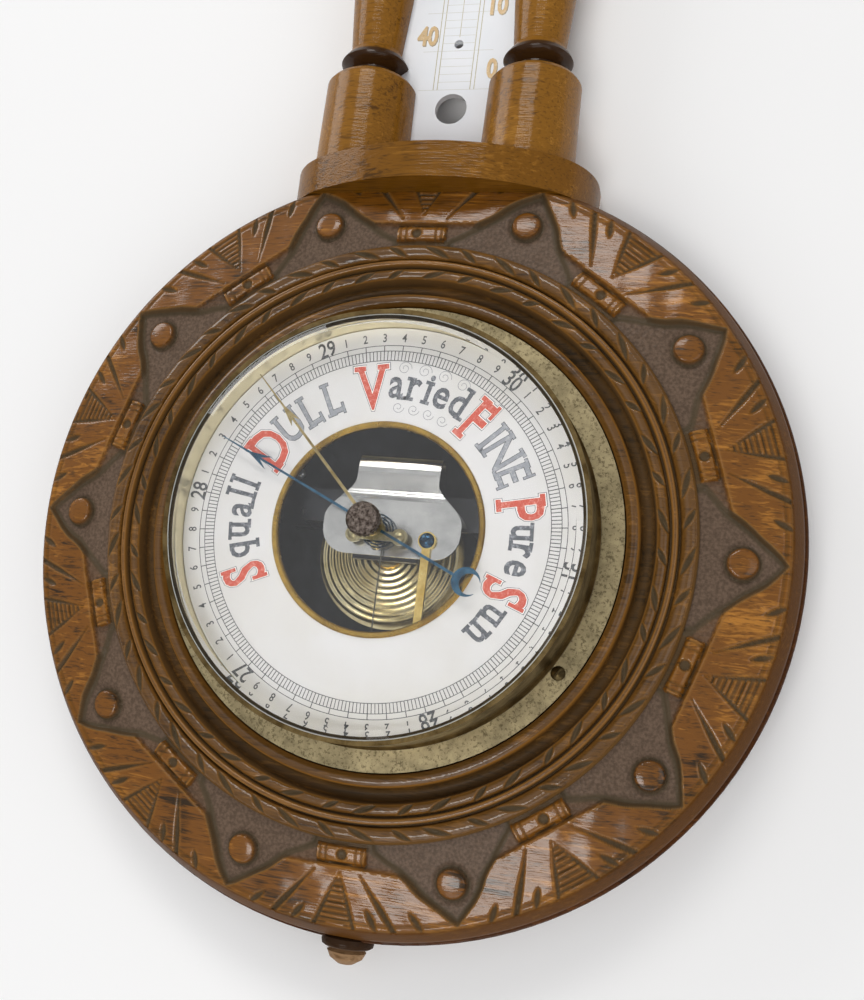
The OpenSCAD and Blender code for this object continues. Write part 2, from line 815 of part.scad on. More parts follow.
module set_spindle() {
    top = knob_h + knob_len / 2 - fit;
    color(brass) facing() {
        translate([0, 0, set_hand_h - 0.4]) cylinder(r = spindle_r, h = top - set_hand_h + 0.4);
        translate([0, 0, glass_seat_h - 0.1 - spindle_collar_t])
            cylinder(r = spindle_collar_r, h = spindle_collar_t);
    }
}

// Outline of the set hand pointing up: a tapering stem, an arrow head and a needle
module set_hand_outline() {
    head = set_hand_len - set_hand_point;
    half = set_hand_half;
    polygon([[-half, 0], [-half * 0.7, head], [-half * 3, head - 2], [-half * 0.6, head + 5.5],
        [-half * 0.25, set_hand_len], [half * 0.25, set_hand_len], [half * 0.6, head + 5.5],
        [half * 3, head - 2], [half * 0.7, head], [half, 0]]);
}

module set_hand() {
    color(brass) facing() rotate([0, 0, -set_turn]) translate([0, 0, set_hand_h]) difference() {
        union() {
            linear_extrude(hand_t) set_hand_outline();
            translate([0, 0, -0.2]) cylinder(r = spindle_r + 1.4, h = hand_t + 0.2);
        }
        translate([0, 0, -over]) cylinder(r = spindle_r + fit / 2, h = 2 * over);
    }
}

// Outline of the blued hand pointing up: a boss, an arrow with swept barbs and a crescent tail
module hand_outline() {
    head = hand_len - hand_point;
    circle(hand_boss_r);
    half = hand_half;
    polygon([[-half, 0], [-half * 0.8, head], [-half * 5, head - 3.6], [-half * 0.8, head + 4.5],
        [-half * 0.3, hand_len], [half * 0.3, hand_len], [half * 0.8, head + 4.5],
        [half * 5, head - 3.6], [half * 0.8, head], [half, 0]]);
    translate([-half, -crescent_in + 2.6]) square([2 * half, crescent_in - 2.6]);
    difference() {
        translate([0, -crescent_in]) circle(5);
        translate([0, -crescent_in - 1.5]) circle(3.6);
        translate([-2.2, -crescent_in - 8]) square([4.4, 6]);
    }
}

module indicator_hand() {
    color(blued) facing() rotate([0, 0, -hand_turn]) translate([0, 0, hand_h]) difference() {
        union() {
            linear_extrude(hand_t) hand_outline();
            translate([0, 0, -hand_boss_t / 2]) cylinder(r = hand_boss_r - 0.6, h = hand_boss_t);
        }
        translate([0, 0, -over]) cylinder(r = arbor_r + fit / 2, h = 2 * over);
    }
}

module centre_arbor() {
    color(steel) facing() {
        translate([0, 0, bridge_h + 0.4]) cylinder(r = arbor_r - 0.3, h = bridge_t);
        translate([0, 0, bridge_top_h + free])
            cylinder(r = arbor_r, h = hand_h + 1.4 - bridge_top_h - free);
        translate([0, 0, drum_lo_h]) cylinder(r = chain_drum_r, h = 1.4);
    }
}

module arbor_cock() {
    color(brass) facing() translate([0, 0, cock_h]) difference() {
        linear_extrude(cock_t) union() {
            for (s = [-1, 1])
                translate([s * pillar_x, pillar_y]) circle(cock_eye_r);
            translate([-pillar_x, pillar_y - pillar_r]) square([2 * pillar_x, 2 * pillar_r]);
            circle(cock_eye_r);
        }
        translate([0, 0, -over]) cylinder(r = arbor_r + fit, h = 2 * over);
        for (s = [-1, 1])
            translate([s * pillar_x, pillar_y, -over]) cylinder(r = cock_screw_r + fit, h = 2 * over);
    }
}

module cock_pillars() {
    color(brass) facing() for (s = [-1, 1])
        translate([s * pillar_x, pillar_y, bridge_top_h]) difference() {
            cylinder(r = pillar_r, h = cock_h - bridge_top_h);
            translate([0, 0, cock_h - bridge_top_h - cock_screw_len - 1])
                cylinder(r = cock_screw_r + fit, h = cock_screw_len + over);
        }
}

module cock_screws() {
    color(brass) facing() for (s = [-1, 1])
        translate([s * pillar_x, pillar_y, cock_h + cock_t])
            slotted_screw(2 * cock_screw_r, cock_screw_r, cock_screw_r, cock_t + cock_screw_len);
}

// Centre line of the hairspring, as a flat spiral at one height
function hair_point(i) = let (a = 360 * i / hair_rings, r = hair_in + hair_pitch * i / hair_rings)
    [r * cos(a), r * sin(a), hair_h];

hair_path = [for (i = [0 : hair_turns * hair_rings]) hair_point(i)];
hair_gap = min([for (i = [0 : len(hair_path) - 1 - hair_rings])
    norm(hair_path[i + hair_rings] - hair_path[i])])
    - hair_wire;
echo(hairspring_least_gap_mm = hair_gap);

// Tube with six sides along a path that lies at one height
module tube(path, r) {
    sides = 6;
    last = len(path) - 1;
    ahead = [for (i = [0 : last]) path[min(i + 1, last)] - path[max(i - 1, 0)]];
    rings = [for (i = [0 : last], k = [0 : sides - 1])
        let (d = ahead[i] / norm(ahead[i]), side = [-d.y, d.x, 0], a = 360 * k / sides)
        path[i] + r * (side * cos(a) + [0, 0, 1] * sin(a))];
    walls = [for (i = [0 : last - 1], k = [0 : sides - 1])
        let (a = i * sides + k, b = i * sides + (k + 1) % sides)
        each [[a, a + sides, b], [b, a + sides, b + sides]]];
    ends = concat([for (k = [1 : sides - 2]) [0, k, k + 1]],
        [for (k = [1 : sides - 2]) [last * sides, last * sides + k + 1, last * sides + k]]);
    polyhedron(rings, concat(walls, ends));
}

module hairspring() {
    color(blued) facing() tube(hair_path, hair_wire / 2);
}

module chain() {
    color(steel) facing() translate([chain_x, -chain_drum_r, chain_h]) rotate([90, 0, 0])
        cylinder(r = chain_r, h = rocker_drop - chain_drum_r - arm_t / 2 - free);
}

module rocker_shaft() {
    color(steel) facing() translate([0, -rocker_drop, rocker_h]) {
        translate([rocker_lo, 0, 0]) rotate([0, 90, 0]) cylinder(r = rocker_r, h = rocker_hi - rocker_lo);
        translate([rocker_lo - bracket_t, 0, 0]) rotate([0, 90, 0])
            cylinder(r = rocker_pivot_r, h = rocker_hi - rocker_lo + 2 * bracket_t);
        translate([chain_x - arm_t / 2, -arm_t / 2, 0]) cube([arm_t, arm_t, chain_h - rocker_h + 1]);
        translate([lever_x - link_side - arm_t, -short_arm - link_eye_t, -link_eye_t])
            cube([arm_t, short_arm + link_eye_t, 2 * link_eye_t]);
        translate([lever_x - link_side - arm_t / 2, -short_arm, 0]) rotate([0, 90, 0])
            cylinder(r = link_pin_r, h = link_side + arm_t / 2 + link_eye_t);
    }
}

module rocker_brackets() {
    color(brass) facing() for (x = [rocker_lo - bracket_t - free, rocker_hi + free])
        translate([x, -rocker_drop, 0]) difference() {
            translate([0, -bracket_w / 2, base_top_h])
                cube([bracket_t, bracket_w, rocker_h + bracket_w / 2 - base_top_h]);
            translate([-over, 0, rocker_h]) rotate([0, 90, 0])
                cylinder(r = rocker_pivot_r + fit, h = bracket_t + 2 * over);
        }
}

module lever() {
    color(brass) facing() difference() {
        translate([0, 0, leaf_top_h]) linear_extrude(lever_t) {
            translate([lever_x, lever_y]) circle(lever_eye_r);
            polygon([[lever_x - lever_half, lever_y], [lever_x - lever_tip_r, lever_end],
                [lever_x + lever_tip_r, lever_end], [lever_x + lever_half, lever_y]]);
            translate([lever_x, lever_end]) circle(lever_tip_r);
        }
        translate([lever_x, lever_y, leaf_h]) cylinder(r = lever_screw_r + fit, h = over);
        translate([lever_x, lever_end, leaf_h]) cylinder(r = link_r + fit, h = over);
    }
}

module lever_screw() {
    color(blued) facing() translate([lever_x, lever_y, lever_top_h])
        slotted_screw(lever_head_r, lever_head_t, lever_screw_r, lever_t + spring_t + air);
}

module link() {
    color(brass) facing() translate([lever_x, lever_end, 0]) {
        translate([0, 0, lever_top_h]) cylinder(r = link_r + 0.5, h = 0.5);
        difference() {
            union() {
                translate([0, 0, rocker_h + 1])
                    cylinder(r = link_r, h = lever_top_h + 0.2 - rocker_h - 1);
                translate([-link_eye_t / 2, 0, rocker_h]) rotate([0, 90, 0])
                    cylinder(r = link_eye_r, h = link_eye_t);
            }
            translate([-over, 0, rocker_h]) rotate([0, 90, 0])
                cylinder(r = link_pin_r + link_play, h = 2 * over);
        }
    }
}

// Section of the main spring: a back leaf on the bridge, a round bend and a front leaf with one fold
module spring_section() {
    translate([beam_lo + 1, bridge_top_h]) square([bend_y - beam_lo - 1, spring_t]);
    translate([bend_y, bridge_top_h + bend_r]) intersection() {
        difference() {
            circle(bend_r);
            circle(bend_r - spring_t);
        }
        translate([0, -bend_r]) square([bend_r, 2 * bend_r]);
    }
    polygon([[bend_y, bend_front_h - spring_t], [bend_y, bend_front_h], [fold_y, leaf_top_h],
        [fold_y, leaf_h]]);
    translate([leaf_end, leaf_h]) square([fold_y - leaf_end, spring_t]);
}

// Plan of the main spring: a neck that flares in an S curve into two lobes with round corners
module spring_plan() {
    flare_hi = 19;
    flare_lo = 4;
    corner = 9;
    steps = 12;
    edge = concat([[neck_half, bend_y + bend_r + 1]],
        [for (i = [0 : steps])
            [neck_half + (lobe_half - neck_half) * (1 - cos(180 * i / steps)) / 2,
                flare_hi + (flare_lo - flare_hi) * i / steps]],
        [for (i = [0 : steps / 2])
            [lobe_half - corner * (1 - cos(180 * i / steps)),
                leaf_end + corner * (1 - sin(180 * i / steps))]]);
    polygon(concat(edge, [for (i = [len(edge) - 1 : -1 : 0]) [-edge[i].x, edge[i].y]]));
}

module main_spring() {
    color(steel) facing() difference() {
        translate([spring_x, 0, 0]) intersection() {
            slab(3 * lobe_half) spring_section();
            linear_extrude(glass_h) spring_plan();
        }
        translate([0, 0, leaf_h - 1]) cylinder(r = 2.2, h = over);
        translate([capsule_x, capsule_y, leaf_h - 1]) cylinder(r = post_r + free, h = over);
        for (s = [-1, 1]) {
            translate([s * pillar_x, pillar_y, leaf_h - 1]) cylinder(r = pillar_r + 0.6, h = over);
            translate([s * spring_screw_x, beam_mid, bridge_top_h - 1])
                cylinder(r = small_screw_r + fit, h = 1 + 2 * spring_t);
        }
        translate([lever_x, lever_y, leaf_h - 1]) cylinder(r = lever_screw_r + fit, h = over);
    }
}

module spring_screws() {
    color(steel) facing() for (s = [-1, 1])
        translate([s * spring_screw_x, beam_mid, bridge_top_h + spring_t])
            slotted_screw(small_head_r, small_head_t, small_screw_r, spring_t + 2);
}

module bridge() {
    color(japan) facing() difference() {
        union() {
            translate([-bridge_half, beam_lo, bridge_h])
                cube([2 * bridge_half, beam_hi - beam_lo, bridge_t]);
            translate([-tongue_half, leaf_end, bridge_h])
                cube([2 * tongue_half, beam_lo - leaf_end, bridge_t]);
            for (s = [-1, 1]) {
                translate([s * (bridge_half - leg_t / 2) - leg_t / 2, beam_lo, base_top_h])
                    cube([leg_t, beam_hi - beam_lo, bridge_len]);
                translate([s * (bridge_half + foot_pad / 2) - foot_pad / 2, beam_lo, base_top_h])
                    cube([foot_pad, beam_hi - beam_lo, foot_pad_t]);
            }
        }
        translate([0, 0, bridge_h - over]) cylinder(r = arbor_r - 0.3 + fit, h = 2 * over + bridge_t);
        translate([capsule_x, capsule_y, bridge_h - over])
            cylinder(r = post_r + 0.8, h = 2 * over + bridge_t);
        for (s = [-1, 1]) {
            translate([s * spring_screw_x, beam_mid, bridge_h - over])
                cylinder(r = small_screw_r + fit, h = 2 * over + bridge_t);
            translate([s * (bridge_half + foot_pad / 2), beam_mid, base_top_h - over])
                cylinder(r = small_screw_r + fit, h = 2 * over);
        }
    }
}

module bridge_screws() {
    color(steel) facing() for (s = [-1, 1])
        translate([s * (bridge_half + foot_pad / 2), beam_mid, base_top_h + foot_pad_t])
            slotted_screw(small_head_r, small_head_t, small_screw_r, foot_pad_t + base_t - air);
}

module capsule() {
    rim_half = 0.7;
    top_in = 5;
    top_out = capsule_r - 1.4;
    mid_h = base_top_h + capsule_len / 2;
    ground_h = capsule_top_h - 2 * ring_rise - 0.6;
    waves = round((top_out - top_in) / ring_pitch);
    steps = waves * 6;
    rings = [for (i = [0 : steps])
        [top_out + (top_in - top_out) * i / steps, ground_h + ring_rise * (1 - cos(360 * i / 6)) / 2]];
    color(brass) facing() translate([capsule_x, capsule_y, 0]) rotate_extrude()
        polygon(concat([[0, base_top_h], [8, base_top_h], [8, base_top_h + 1.4],
            [top_out, base_top_h + 2.4],
            [top_out, mid_h - rim_half], [capsule_r, mid_h - rim_half], [capsule_r, mid_h + rim_half],
            [top_out, mid_h + rim_half]], rings, [[top_in, capsule_top_h], [0, capsule_top_h]]));
}

module capsule_post() {
    knife_h = leaf_top_h + knife_r;
    color(brass) facing() difference() {
        translate([capsule_x, capsule_y, capsule_top_h])
            cylinder(r = post_r, h = knife_h + knife_r + 0.05 - capsule_top_h);
        translate([capsule_x, capsule_y, knife_h]) rotate([0, 90, 0])
            cylinder(r = knife_r + fit / 2, h = 2 * over, center = true);
    }
}

module knife_edge() {
    color(steel) facing() translate([capsule_x, capsule_y, leaf_top_h + knife_r]) rotate([0, 90, 0])
        cylinder(r = knife_r, h = knife_len, center = true);
}

module base_plate() {
    color(japan) facing() difference() {
        translate([0, 0, base_h]) cylinder(r = base_r, h = base_t);
        around(base_screw_count, base_screw_turn) translate([0, base_screw_at, base_h - over])
            cylinder(r = small_screw_r + fit, h = 2 * over);
        for (s = [-1, 1])
            translate([s * (bridge_half + foot_pad / 2), beam_mid, base_h - over])
                cylinder(r = small_screw_r + fit, h = 2 * over);
        translate([0, adjust_y, base_h - over]) cylinder(r = adjust_r + fit, h = over + base_t - 0.8);
    }
}

module base_screws() {
    color(steel) facing() around(base_screw_count, base_screw_turn)
        translate([0, base_screw_at, base_top_h])
            slotted_screw(small_head_r, small_head_t, small_screw_r, base_t + 1);
}

module adjusting_screw() {
    tail_h = board_floor + 0.2;
    color(steel) facing() translate([0, adjust_y, 0]) difference() {
        translate([0, 0, tail_h]) cylinder(r = adjust_r, h = base_top_h - 1 - tail_h);
        translate([-adjust_r - 1, -0.5, tail_h - 1]) cube([2 * adjust_r + 2, 1, 2.2]);
    }
}

case_back();
carved_surround();
lower_plinth();
left_column();
right_column();
upper_plinth();
crest();
drop_finial();
thermometer_plate();
hanger_plate();
hanger_screws();
drum_case();
flange_screws();
bezel();
glass();
dial();
hole_ring();
set_knob();
set_spindle();
set_hand();
indicator_hand();
centre_arbor();
arbor_cock();
cock_pillars();
cock_screws();
hairspring();
chain();
rocker_shaft();
rocker_brackets();
lever();
lever_screw();
link();
main_spring();
spring_screws();
bridge();
bridge_screws();
capsule();
capsule_post();
knife_edge();
base_plate();
base_screws();
adjusting_screw();
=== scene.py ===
import json
import math

import bpy
import numpy as np
from mathutils import Matrix, Vector

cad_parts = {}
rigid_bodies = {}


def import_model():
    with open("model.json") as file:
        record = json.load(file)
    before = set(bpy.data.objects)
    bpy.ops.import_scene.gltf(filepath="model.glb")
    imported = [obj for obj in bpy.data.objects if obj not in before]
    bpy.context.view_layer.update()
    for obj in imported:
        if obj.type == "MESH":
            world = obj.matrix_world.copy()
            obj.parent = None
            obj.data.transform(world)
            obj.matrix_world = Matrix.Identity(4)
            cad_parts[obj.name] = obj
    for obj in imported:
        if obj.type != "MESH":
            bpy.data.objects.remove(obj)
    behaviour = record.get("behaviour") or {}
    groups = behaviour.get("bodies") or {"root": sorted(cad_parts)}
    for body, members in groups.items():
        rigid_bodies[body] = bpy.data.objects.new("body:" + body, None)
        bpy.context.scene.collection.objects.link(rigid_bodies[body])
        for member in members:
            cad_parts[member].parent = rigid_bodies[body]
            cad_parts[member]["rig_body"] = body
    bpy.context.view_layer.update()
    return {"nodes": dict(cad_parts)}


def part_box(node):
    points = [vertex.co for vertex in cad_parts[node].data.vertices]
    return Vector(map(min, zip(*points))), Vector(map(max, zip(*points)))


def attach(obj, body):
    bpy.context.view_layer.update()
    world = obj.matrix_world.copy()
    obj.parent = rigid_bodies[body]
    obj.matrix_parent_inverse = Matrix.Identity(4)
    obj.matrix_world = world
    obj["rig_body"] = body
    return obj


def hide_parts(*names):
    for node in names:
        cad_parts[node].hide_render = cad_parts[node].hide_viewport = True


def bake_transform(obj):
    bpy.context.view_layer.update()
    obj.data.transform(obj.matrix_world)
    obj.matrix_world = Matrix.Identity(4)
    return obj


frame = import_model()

bl_info = {
    "name": "Banjo Barometer",
    "version": (1, 1, 0),
    "blender": (4, 5, 0),
    "location": "View3D > Sidebar > Barometer",
    "description": "Carving, printing, materials, light and camera for a banjo barometer",
    "category": "Object",
}

MM = 0.001
CASE = "case"

# Heights from the wall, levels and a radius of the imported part, in mm
DIAL_H = -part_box("dial")[0].y / MM
PLATE_H = -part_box("thermometer_plate")[0].y / MM
BOARD_H = -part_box("case_back")[0].y / MM
FLAT_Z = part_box("lower_plinth")[0].z / MM
GLASS_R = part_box("glass")[1].x / MM
PLINTH_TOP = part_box("lower_plinth")[1].z / MM
CORNICE_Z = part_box("upper_plinth")[0].z / MM
FINIAL_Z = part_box("drop_finial")[0].z / MM


# Small helpers

def linear(colour):
    """The linear colour of an sRGB hex value. A colour from the settings is linear already and is passed on."""
    if not isinstance(colour, str):
        return tuple(colour)
    parts = [int(colour[i:i + 2], 16) / 255 for i in (1, 3, 5)]
    return tuple(c / 12.92 if c <= 0.04045 else ((c + 0.055) / 1.055) ** 2.4 for c in parts) + (1.0,)


def node(tree, kind, inputs=None, stops=(), out=None, **settings):
    """Adds a node with its settings and ramp stops, and sets or links its inputs.

    It gives the output that out names, or else the first one in use.
    """
    new = tree.nodes.new(kind)
    for key, value in settings.items():
        setattr(new, key, value)
    for _ in stops[2:]:
        new.color_ramp.elements.new(1.0)
    for k, (place, colour) in enumerate(stops):
        new.color_ramp.elements[k].position = place
        new.color_ramp.elements[k].color = linear(colour)
    for key, value in (inputs or {}).items():
        if isinstance(value, bpy.types.NodeSocket):
            tree.links.new(value, new.inputs[key])
        else:
            new.inputs[key].default_value = value
    return new.outputs[out] if out else next((socket for socket in new.outputs if socket.enabled), None)


def blank(name):
    """A new material with an empty node tree, that tree, and its Object coordinates."""
    made = bpy.data.materials.new(name)
    made.use_nodes = True
    made.node_tree.nodes.clear()
    return made, made.node_tree, node(made.node_tree, "ShaderNodeTexCoord", out="Object")


def clear_selection():
    """Leaves edit mode and deselects everything."""
    if bpy.context.object and bpy.context.object.mode != "OBJECT":
        bpy.ops.object.mode_set(mode="OBJECT")
    bpy.ops.object.select_all(action="DESELECT")


def only(piece):
    """Selects one object alone and makes it active."""
    clear_selection()
    piece.select_set(True)
    bpy.context.view_layer.objects.active = piece


def edit_all():
    """Opens the active piece in edit mode, with all of it selected."""
    bpy.ops.object.mode_set(mode="EDIT")
    bpy.ops.mesh.select_all(action="SELECT")


def weld(piece, threshold=1e-6):
    """Merges the doubles of a mesh and turns its faces outwards."""
    only(piece)
    edit_all()
    bpy.ops.mesh.remove_doubles(threshold=threshold)
    bpy.ops.mesh.normals_make_consistent(inside=False)
    bpy.ops.object.mode_set(mode="OBJECT")


def settle(piece, name, body, made, angle=40):
    """Ends a new piece: name, place in its mesh, shading, material and body.

    body is a name. For a piece that bends it is two names, and the points between which the piece goes over
    from the first to the second; these are not used, and such a piece is left on no body.
    """
    only(piece)
    piece.name = name
    piece.data.name = name
    bpy.ops.object.transform_apply()
    bpy.ops.object.shade_smooth_by_angle(angle=math.radians(angle))
    piece.data.materials.clear()
    piece.data.materials.append(made)
    if isinstance(body, str):
        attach(piece, body)
    else:
        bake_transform(piece)


def dress(names, made):
    """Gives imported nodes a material."""
    for name in names:
        mesh = frame["nodes"][name].data
        mesh.materials.clear()
        mesh.materials.append(made)


def smooth(names, made, angle=32, reshape=None, across=None):
    """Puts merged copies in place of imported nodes, so that their round faces shade as round.

    reshape may move the points of the copy first. across is the body of settle() for a piece that bends.
    """
    for name in names:
        source = frame["nodes"][name]
        piece = bpy.data.objects.new(name, source.data.copy())
        bpy.context.scene.collection.objects.link(piece)
        only(piece)
        bpy.ops.mesh.customdata_custom_splitnormals_clear()
        weld(piece)
        if reshape:
            reshape(piece.data)
        settle(piece, name + "_finished", across or source["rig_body"], made, angle)
        # Large flat faces keep their own normals beside rounded edges
        weigh = piece.modifiers.new("weigh", "WEIGHTED_NORMAL")
        weigh.keep_sharp = True
        bpy.ops.object.modifier_apply(modifier=weigh.name)
        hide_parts(name)


def ease(low, high, x):
    """Smooth step from 0 at low to 1 at high."""
    t = np.clip((x - low) / (high - low), 0, 1)
    return t * t * (3 - 2 * t)


def bell(x, middle, width):
    """A soft bump, 1 at the middle."""
    return np.exp(-((x - middle) / width) ** 2)


def vee(x, middle, half):
    """A pointed groove, 1 at the middle and 0 from half a width away."""
    return np.clip(1 - np.abs(x - middle) / half, 0, 1)


# Materials

# Inputs of a colour mix: how much of the second colour shows, the first colour and the second
SHARE, UNDER, OVER = 0, 6, 7
# What carving leaves on the points of a ring: cuts darkened for dirt and painted shade, sunk ground, crests
# lightened for wear and a painted highlight, and the stained rim
CARVED_MARKS = ("cut", "ground", "crest", "stain")


def axis_distance(t, place):
    """Distance from the dial axis."""
    level = node(t, "ShaderNodeVectorMath", {0: place, 1: (1, 0, 1)}, operation="MULTIPLY")
    return node(t, "ShaderNodeVectorMath", {0: level}, operation="LENGTH")


def walnut(name, light, middle, dark, gloss=0.8, carved=False, collars=()):
    """Walnut under old brown varnish: fine grain lines, open pores that break the shine, clouds of tone.

    gloss is the weight of the varnish. carved reads what carving left on a ring, for the dirt and painted shade
    in its cuts, the wear and painted highlight on its crests, and its dull ground. collars are levels in mm
    between which a turned piece is painted nearly black, for dark stain and painted shade.
    """
    made, t, place = blank(name)
    # Grain lines about 1.4 mm apart and some 40 mm long
    lines = (1 / (40 * MM), 1 / (1.4 * MM), 1 / (1.4 * MM))
    line_place = node(t, "ShaderNodeMapping", {"Vector": place, "Scale": lines})
    grain = node(t, "ShaderNodeTexNoise", {"Vector": line_place, "Scale": 1.0, "Detail": 4.0,
                                           "Roughness": 0.6, "Distortion": 0.7})
    cloud = node(t, "ShaderNodeTexNoise", {"Vector": place, "Scale": 1 / (28 * MM), "Detail": 3.0,
                                           "Roughness": 0.55})
    part = node(t, "ShaderNodeMath", {0: cloud, 1: 0.5}, operation="MULTIPLY")
    tone = node(t, "ShaderNodeMath", {0: grain, 1: 0.5, 2: part}, operation="MULTIPLY_ADD")
    colour = node(t, "ShaderNodeValToRGB", {"Fac": tone},
                  ((0.37, dark), (0.46, middle), (0.54, middle), (0.65, light)))
    # Pores are 0.2 mm wide in the real wood and drawn three times as coarse, so that they show
    slots = (1 / (9 * MM), 1 / (0.65 * MM), 1 / (0.65 * MM))
    slot_place = node(t, "ShaderNodeMapping", {"Vector": place, "Scale": slots})
    pores = node(t, "ShaderNodeTexNoise", {"Vector": slot_place, "Scale": 1.0, "Detail": 2.0})
    deep_pores = node(t, "ShaderNodeMapRange", {"Value": pores, "From Min": 0.55, "From Max": 0.7,
                                                "To Max": 0.6})
    layers = [(deep_pores, linear(dark))]
    rough = node(t, "ShaderNodeMapRange", {"Value": cloud, "From Min": 0.3, "From Max": 0.7, "To Min": 0.34,
                                           "To Max": 0.5})
    shine, mirror = gloss, 0.15 * gloss
    if carved:
        cut, ground, crest, stain = (node(t, "ShaderNodeAttribute", out="Fac", attribute_name=mark)
                                     for mark in CARVED_MARKS)
        rim = node(t, "ShaderNodeMath", {0: stain, 1: 0.8}, operation="MULTIPLY")
        # Marks of the punch in the ground, about 1.1 mm across
        punched = node(t, "ShaderNodeTexNoise", {"Vector": place, "Scale": 1 / (1.1 * MM), "Detail": 2.0})
        dull = node(t, "ShaderNodeValToRGB", {"Fac": punched}, ((0.35, "#57473a"), (0.65, "#6d5a4b")))
        # Crests take a lighter colour, for wear and a painted highlight; cuts take a grey-brown, for dirt and
        # painted shade
        layers += [(crest, linear("#8e6128")), (rim, linear("#54330f")), (ground, dull),
                   (cut, linear("#4d4230"))]
        matt = node(t, "ShaderNodeMath", {0: ground, 1: cut}, operation="MAXIMUM")
        rough = node(t, "ShaderNodeMapRange", {"Value": matt, "To Min": rough, "To Max": 0.7})
        # The varnish ends at the very edge of a cut
        bare = node(t, "ShaderNodeMath", {0: matt, 1: stain}, operation="MAXIMUM")
        shine = node(t, "ShaderNodeMapRange", {"Value": bare, "From Max": 0.12, "To Min": gloss,
                                               "To Max": 0.05})
        mirror = node(t, "ShaderNodeMapRange", {"Value": stain, "To Min": mirror, "To Max": 0.03})
    # The collars are painted nearly black, for dark stain and the shade in their recess
    for low, high in collars:
        level = node(t, "ShaderNodeSeparateXYZ", {"Vector": place}, out="Z")
        start = node(t, "ShaderNodeMapRange", {"Value": level, "From Min": low * MM,
                                               "From Max": (low + 1) * MM})
        end = node(t, "ShaderNodeMapRange", {"Value": level, "From Min": (high - 1) * MM,
                                             "From Max": high * MM, "To Min": 0.9, "To Max": 0.0})
        band = node(t, "ShaderNodeMath", {0: start, 1: end}, operation="MULTIPLY")
        layers.append((band, linear("#26150d")))
    for share, shade in layers:
        colour = node(t, "ShaderNodeMix", {SHARE: share, UNDER: colour, OVER: shade}, data_type="RGBA")
    bump = node(t, "ShaderNodeBump", {"Height": pores, "Strength": 0.4, "Distance": 0.2 * MM})
    shader = node(t, "ShaderNodeBsdfPrincipled", {
        "Base Color": colour, "Roughness": rough, "IOR": 1.5, "Specular IOR Level": mirror, "Normal": bump,
        "Coat Weight": shine, "Coat Roughness": 0.1, "Coat Normal": bump})
    node(t, "ShaderNodeOutputMaterial", {"Surface": shader})
    return made


def metal(name, bright, dull, patch_mm, rough, specks=None, axis=None, polish=None):
    """A worn metal: clouds of tarnish, with dark specks if their colour is given, or else fine scratches.

    axis is the one that scratches run along. polish is a radius in mm inside which the metal is bright, and
    its colour there.
    """
    made, t, place = blank(name)
    cloud = node(t, "ShaderNodeTexNoise", {"Vector": place, "Scale": 1 / (patch_mm * MM), "Detail": 6.0,
                                           "Roughness": 0.65})
    colour = node(t, "ShaderNodeValToRGB", {"Fac": cloud}, ((0.38, dull), (0.62, bright)))
    sheen = node(t, "ShaderNodeMapRange", {"Value": cloud, "From Min": 0.35, "From Max": 0.65,
                                           "To Min": rough + 0.1, "To Max": rough})
    layers = []
    if specks:
        # Specks of corrosion about 1 mm across
        relief = node(t, "ShaderNodeTexNoise", {"Vector": place, "Scale": 1 / (1.0 * MM), "Detail": 3.0,
                                                "Roughness": 0.7})
        spot = node(t, "ShaderNodeMapRange", {"Value": relief, "From Min": 0.51, "From Max": 0.64,
                                              "To Max": 0.75})
        layers.append((spot, linear(specks)))
    else:
        # Scratches are some hundredths of a millimetre wide and drawn at 0.4 mm, so that they show
        scratch = [1 / (0.4 * MM)] * 3
        if axis is not None:
            scratch[axis] = 1 / (20 * MM)
        scratch_place = node(t, "ShaderNodeMapping", {"Vector": place, "Scale": scratch})
        relief = node(t, "ShaderNodeTexNoise", {"Vector": scratch_place, "Scale": 1.0, "Detail": 2.0})
    if polish:
        radius, shade = polish
        inner = node(t, "ShaderNodeMapRange", {
            "Value": axis_distance(t, place), "From Min": (radius - 0.1) * MM,
            "From Max": (radius + 0.1) * MM, "To Min": 1.0, "To Max": 0.0})
        layers.append((inner, linear(shade)))
        sheen = node(t, "ShaderNodeMapRange", {"Value": inner, "To Min": sheen, "To Max": 0.3})
    for share, shade in layers:
        colour = node(t, "ShaderNodeMix", {SHARE: share, UNDER: colour, OVER: shade}, data_type="RGBA")
    bump = node(t, "ShaderNodeBump", {"Height": relief, "Strength": 0.25, "Distance": 0.04 * MM})
    shader = node(t, "ShaderNodeBsdfPrincipled", {"Base Color": colour, "Metallic": 1.0, "Roughness": sheen,
                                                  "Normal": bump})
    node(t, "ShaderNodeOutputMaterial", {"Surface": shader})
    return made


def glaze(name, clean, aged, rough, mirror=0.5):
    """A glossy white face, porcelain or opal glass: an even colour with faint clouds of age 30 mm across.

    mirror is how much of the room the skin gives back.
    """
    made, t, place = blank(name)
    cloud = node(t, "ShaderNodeTexNoise", {"Vector": place, "Scale": 1 / (30 * MM), "Detail": 4.0})
    colour = node(t, "ShaderNodeValToRGB", {"Fac": cloud}, ((0.35, aged), (0.6, clean)))
    shader = node(t, "ShaderNodeBsdfPrincipled", {"Base Color": colour, "Roughness": rough, "IOR": 1.5,
                                                  "Specular IOR Level": mirror})
    node(t, "ShaderNodeOutputMaterial", {"Surface": shader})
    return made


def ink(name, full, worn, rough=0.5):
    """Fired printing ink: an even colour broken by worn spots about 1 mm across."""
    made, t, place = blank(name)
    wear = node(t, "ShaderNodeTexNoise", {"Vector": place, "Scale": 1 / (1.2 * MM), "Detail": 3.0,
                                          "Roughness": 0.7})
    colour = node(t, "ShaderNodeValToRGB", {"Fac": wear}, ((0.5, full), (0.72, worn)))
    shader = node(t, "ShaderNodeBsdfPrincipled", {"Base Color": colour, "Roughness": rough, "IOR": 1.5})
    node(t, "ShaderNodeOutputMaterial", {"Surface": shader})
    return made


